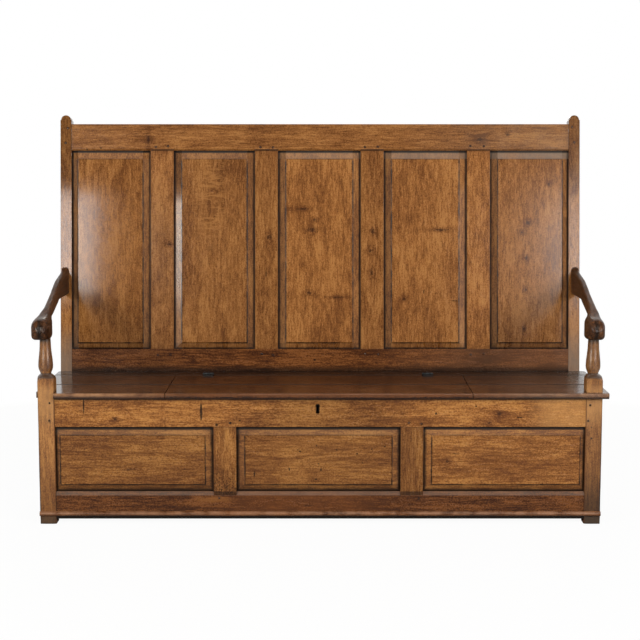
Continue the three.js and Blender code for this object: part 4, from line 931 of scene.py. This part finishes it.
# Turned supports: where the square ends and the vase begins, and how far along x both vases stand
# off their squares
SHOULDER = SEAT + 0.040
NECK = SEAT + 0.063
LEAN = -0.0025

# Radii of the cushion over the square, the neck, the vase's belly and its top, and one that is
# out of the square's reach
CUSHION_RADIUS = 0.0395
NECK_RADIUS = 0.0175
VASE_RADIUS = 0.0246
VASE_TOP_RADIUS = 0.018
NO_TURNING = 0.060

# Heights and radii of the vase, as shares of its height and of its swell
VASE_HEIGHTS = (0.0, 0.05, 0.12, 0.21, 0.37, 0.54, 0.72, 1.0)
VASE_SWELLS = (-0.07, 0.35, 0.85, 1.0, 0.84, 0.5, 0.18, 0.0)

# Rows of the square and of the vase, rows of the shoulder, and points around the post
POST_ROWS = 110
SHOULDER_ROWS = 46
POST_SIDES = 160


def post_rings(side):
    """A front post: at each height the smaller of a worn square's outline and a turned radius.

    The square's corners are rounded as a high power curve, more so in slow waves along the post
    and at its foot. The turned radius is endless below the shoulder, closes over it as a quarter
    of an ellipse and swells as a vase.
    """
    low = np.linspace(0.0, SHOULDER - 0.016, POST_ROWS)
    shoulder = np.linspace(SHOULDER - 0.0155, NECK - 0.0030, SHOULDER_ROWS)
    vase = np.linspace(NECK - 0.0025, HAND_BOTTOM + 0.003, POST_ROWS)
    up = np.clip((shoulder - shoulder[0]) / (shoulder[-1] - shoulder[0]), 0.0, 1.0)
    cushion = NECK_RADIUS + (CUSHION_RADIUS - NECK_RADIUS) * (1.0 - up ** 1.8) ** (1.0 / 1.25)
    share = np.clip((vase - NECK) / (HAND_BOTTOM - NECK), 0.0, 1.0)
    swell = eased(np.interp(share, VASE_HEIGHTS, VASE_SWELLS)[:, None], 3)[:, 0]
    body = VASE_TOP_RADIUS + (VASE_RADIUS - VASE_TOP_RADIUS) * swell
    radius = np.concatenate([np.full(len(low), NO_TURNING), cushion, body])[:, None]
    angle = np.linspace(0.0, 2.0 * math.pi, POST_SIDES, endpoint=False)[None, :]
    z = np.concatenate([low, shoulder, vase])[:, None]
    worn = 0.5 + 0.25 * np.sin(z * 23.0 + side + 2.0 * angle)
    worn = worn + 0.25 * np.sin(z * 61.0 + 5.0 * angle)
    foot = np.exp(-(z / 0.02) ** 2)
    power = 26.0 - 12.0 * worn - 8.0 * foot
    corner = (np.abs(np.cos(angle)) ** power + np.abs(np.sin(angle)) ** power) ** (1.0 / power)
    reach = np.minimum(POST / 2 / corner, radius)
    aside = LEAN * np.clip((z - SHOULDER) / (NECK - SHOULDER), 0.0, 1.0)
    xs = side * (HALF_SPAN - POST / 2) + aside + reach * np.cos(angle)
    ys = FRONT + POST / 2 + reach * np.sin(angle)
    return np.stack([xs, ys, np.broadcast_to(z, xs.shape)], axis=-1)


def make_posts():
    """Front posts with worn arrises and smoothly turned supports, in place of the frame's own."""

    def post_wear_light_and_shade(paint, blotches):
        # Painted shade towards the floor, deeper at the foot of the right post
        low = paint.z.fall(0.02, 0.33) * (0.6 + blotches * 0.5)
        paint.lay(low, LOW_POST_SHADE, "MULTIPLY")
        paint.darken(paint.z.fall(0.05, 0.22) * paint.x.rise(-0.5, 0.5), 0.45)
        arris = (HALF_SPAN - abs(paint.x)).fall(0.001, 0.005 + blotches * 0.004)
        paint.darken(arris * paint.z.fall(SEAT, SHOULDER), 0.4)
        # Painted light, in patches, on the upper square below the seat
        bright = paint.z.rise(0.30, 0.40) * paint.z.fall(SEAT, SHOULDER)
        paint.lay(bright * (0.2 + blotches * 0.45), SUNNED_AND_LIT)
        foot = paint.z.fall(0.020, 0.034) * (0.6 + blotches * 0.3)
        paint.lay(foot, SCUFFED_FOOT)
        collar = paint.z.rise(SHOULDER + 0.002, SHOULDER + 0.010)
        collar = collar * paint.z.fall(NECK - 0.002, NECK + 0.003)
        paint.lay(collar * 0.85, COLLAR)
        paint.darken(paint.z.rise(NECK, NECK + 0.010), 0.75)
        # Painted shade at the top of the vase, under the hand
        top = paint.z.rise(HAND_BOTTOM - 0.016, HAND_BOTTOM - 0.002)
        paint.lay(top * 0.7, GRIME_AND_SHADE)
        inner = (abs(paint.x) - HALF_SPAN + POST).fall(0.0, 0.005)
        paint.lay(inner * paint.z.fall(SEAT, SEAT + 0.01) * 0.7, HONEY[0])

    def dull_foot(paint):
        return 0.50 - paint.z.rise(SEAT, NECK) * 0.16

    def polished_vase(paint):
        return paint.z.rise(SHOULDER, NECK)

    for side, name, share in ((-1, "left", 1.0), (1, "right", 0.8)):
        rings = post_rings(side)
        points, faces = skin(rings, rings[0].mean(axis=0), rings[-1].mean(axis=0))
        node = f"front_post_{name}"
        wood = oak(f"post_oak_{name}", shaded(HONEY, share), "z", 12 + side, rounding=None,
                   marks=marks_on(node), tint=post_wear_light_and_shade, relief=0.12, roughness=dull_foot,
                   coat=polished_vase, coat_roughness=0.26)
        make_piece(f"turned_{node}", points, faces, wood, "frame", "oak_honey", node)


# Outline of a stud's head: heights as shares of how far it stands out, widths as shares of its
# radius. The first ring lies inside the wood.
STUD_SIDES = 10
STUD_HEIGHTS = np.array([-1.5, 0.0, 0.5, 0.8, 0.96])
STUD_WIDTHS = np.array([0.9, 1.0, 0.88, 0.6, 0.3])


def studs(centres, across, up, radius, proud, seed):
    """Points and faces of small domed heads.

    Each is rings of a slightly uneven outline that close over a quarter ellipse, standing out
    along the product of across and up.
    """
    draw = np.random.default_rng(seed)
    out = np.cross(across, up)
    angle = np.linspace(0.0, 2.0 * math.pi, STUD_SIDES, endpoint=False)
    all_points, all_faces, count = [], [], 0
    for centre in centres:
        uneven = radius * (1.0 + draw.uniform(-0.10, 0.10, STUD_SIDES)) * draw.uniform(0.88, 1.08)
        spread = STUD_WIDTHS[:, None] * uneven
        rings = (np.asarray(centre) + (spread * np.cos(angle))[..., None] * across
                 + (spread * np.sin(angle))[..., None] * up
                 + (STUD_HEIGHTS * proud)[:, None, None] * out)
        points, faces = skin(rings, rings[0].mean(axis=0), np.asarray(centre) + out * proud)
        all_points.append(points)
        all_faces += [[corner + count for corner in face] for face in faces]
        count += len(points)
    return np.concatenate(all_points), all_faces


def make_pegs():
    """Oak pegs, a little proud of the rails and posts whose tenons they hold."""
    across = np.array([1.0, 0.0, 0.0])
    back, front = [], []
    for node, places in PEGS.items():
        if node.startswith("front"):
            front += [(x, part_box(node)[0][1], z) for x, z in places]
        else:
            back += [(x, BACK_FOOT + (z - SEAT) * math.tan(RAKE), z) for x, z in places]
    for name, centres, lean, seed in (("back", back, RAKE, 5), ("front", front, 0.0, 6)):
        up = np.array([0.0, math.sin(lean), math.cos(lean)])
        points, faces = studs(centres, across, up, PEG_RADIUS, PEG_PROUD, seed)
        wood = oak(f"peg_oak_{name}", shaded(RUSSET, 0.5), "y", 175 + seed, pits=0.0, rounding=None)
        make_piece(f"{name}_pegs", points, faces, wood, "frame", "oak_dark")


# Hinge leaves and nails: a leaf's thickness, how far its nails stand from its ends, from its free
# edge and from the barrel, and the radius and height of their heads
LEAF = 0.0025
NAIL_END = 0.007
NAIL_EDGE = 0.006
NAIL_BARREL = 0.013
NAIL_RADIUS = 0.0026
NAIL_PROUD = 0.0011


def make_nails():
    """Forged nails through the leaves of the hinges."""
    across, up = np.array([1.0, 0.0, 0.0]), np.array([0.0, 1.0, 0.0])
    top = extent("lid_front_board")[2][1] + LEAF
    for part, body in (("fixed", "frame"), ("lid", "lid")):
        centres = []
        for number in (1, 2):
            (x0, x1), (y0, y1), _ = extent(f"hinge_{number}_{part}_leaf")
            near, far = y1 - NAIL_EDGE, y0 + NAIL_BARREL
            if part == "lid":
                near, far = y0 + NAIL_EDGE, y1 - NAIL_BARREL
            centres += [(x0 + NAIL_END, far, top), (x1 - NAIL_END, far, top),
                        ((x0 + x1) / 2, near, top)]
        points, faces = studs(centres, across, up, NAIL_RADIUS, NAIL_PROUD, 7)
        metal = iron(f"nail_iron_{part}", 190)
        make_piece(f"hinge_nails_{part}", points, faces, metal, body, "iron")


def dress_iron():
    """Iron on the hinges and the lock."""
    parts = ("fixed_leaf", "lid_leaf", "pin")
    hinges = [f"hinge_{number}_{part}" for number in (1, 2) for part in parts]
    for seed, node in enumerate([*hinges, "lock_case", "lock_bolt", "lid_staple"]):
        dress(node, iron(node, 170 + seed))


def make_floor():
    """A wide pale floor whose shadow stays, and which glows white to the camera further away."""
    mesh = bpy.data.meshes.new("floor")
    size = FLOOR_SIZE
    corners = [(-size, -size, 0.0), (size, -size, 0.0), (size, size, 0.0), (-size, size, 0.0)]
    mesh.from_pydata(corners, [], [(0, 1, 2, 3)])
    floor = bpy.data.objects.new("floor", mesh)
    bpy.context.scene.collection.objects.link(floor)
    paint = Paint("floor")
    seen = Value(paint.tree, paint.add("LightPath").outputs["Is Camera Ray"])
    far = (paint.x * paint.x + paint.y * paint.y).root().rise(1.1, 2.6)
    feed(paint.tree, paint.shader.inputs["Base Color"], paint.mix(seen, FLOOR_GREY, FLOOR_WHITE))
    paint.shader.inputs["Roughness"].default_value = 0.9
    glow = paint.add("Emission", values={"Color": WHITE, "Strength": 1.0})
    both = paint.add("MixShader", values={
        0: seen * far.most(FLOOR_GLOW), 1: paint.shader.outputs[0], 2: glow.outputs[0],
    })
    output = paint.tree.nodes["Material Output"]
    paint.tree.links.new(both.outputs[0], output.inputs["Surface"])
    mesh.materials.append(paint.material)


def make_backdrop():
    """A dim room that is white to the camera, and behind the bench to gloss as well."""
    world = bpy.data.worlds.new("studio")
    world.use_nodes = True
    tree = world.node_tree
    background = tree.nodes["Background"]
    background.inputs["Color"].default_value = (*WHITE, 1.0)
    path = tree.nodes.new("ShaderNodeLightPath")
    direction = tree.nodes.new("ShaderNodeSeparateXYZ")
    tree.links.new(tree.nodes.new("ShaderNodeTexCoord").outputs["Generated"], direction.inputs[0])
    behind = Value(tree, direction.outputs["Y"]).rise(-0.1, 0.3)
    seen = Value(tree, path.outputs["Is Camera Ray"])
    through = Value(tree, path.outputs["Is Transmission Ray"])
    shine = Value(tree, path.outputs["Is Glossy Ray"]).most(through)
    strength = seen + (1.0 - seen) * (ROOM_LIGHT + shine * behind * (1.0 - ROOM_LIGHT))
    tree.links.new(strength.socket, background.inputs["Strength"])
    bpy.context.scene.world = world


# Softboxes: name, place, target, width, height, watts and tint. Low ones stand at both sides of
# the camera, so that their reflections lie on the ends of the back. One hangs in front and above,
# and one stands behind.
BENCH_MIDDLE = (0.0, 0.1, 0.8)
SOFTBOXES = (
    ("left_sheet", (-1.68, -3.5, 1.50), (-0.6, 0.1, 0.9), 0.62, 0.62, 9.6, RIGHT_TINT),
    ("right_sheet", (1.74, -3.5, 1.48), (0.6, 0.1, 0.9), 0.64, 0.64, 10.5, RIGHT_TINT),
    ("left_key", (-3.1, -3.0, 1.9), BENCH_MIDDLE, 0.5, 0.9, 62.0, LEFT_TINT),
    ("right_key", (3.1, -3.0, 1.9), BENCH_MIDDLE, 0.5, 0.9, 54.0, RIGHT_TINT),
    ("left_wash", (-2.60, -3.4, 1.5), BENCH_MIDDLE, 1.0, 0.85, 32.0, LEFT_TINT),
    ("right_wash", (2.65, -3.4, 1.5), BENCH_MIDDLE, 1.0, 0.85, 28.0, RIGHT_TINT),
    ("overhead", (0.7, -3.2, 3.6), BENCH_MIDDLE, 2.6, 1.2, 50.0, LEFT_TINT),
    ("rear_fill", (0.0, 4.4, 2.6), BENCH_MIDDLE, 3.0, 1.4, 110.0, LEFT_TINT),
)


def make_softbox(name, place, target, width, height, watts, tint):
    """A rectangular lamp at a place, aimed at a target."""
    light = bpy.data.lights.new(name, "AREA")
    light.shape = "RECTANGLE"
    light.size = width
    light.size_y = height
    light.energy = watts
    light.color = tint
    lamp = bpy.data.objects.new(name, light)
    bpy.context.scene.collection.objects.link(lamp)
    aim = np.subtract(target, place)
    turn = math.atan2(-aim[0], aim[1])
    tilt = math.atan2(math.hypot(aim[0], aim[1]), -aim[2])
    lamp.location = place
    lamp.rotation_euler = (tilt, 0.0, turn)


def make_camera():
    """The photograph's own viewpoint."""
    lens = bpy.data.cameras.new("camera")
    lens.lens = CAMERA_LENS
    lens.sensor_width = SENSOR
    camera = bpy.data.objects.new("camera", lens)
    bpy.context.scene.collection.objects.link(camera)
    camera.location = CAMERA_PLACE
    camera.rotation_euler = (math.pi / 2 - CAMERA_PITCH, 0.0, 0.0)
    bpy.context.scene.camera = camera
    bpy.context.scene.view_settings.view_transform = "Standard"


make_camera()
make_floor()
make_backdrop()
for softbox in SOFTBOXES:
    make_softbox(*softbox)
dress_front()
dress_back()
dress_ends_and_rear()
dress_seat()
dress_iron()
make_arms()
make_posts()
make_pegs()
make_nails()
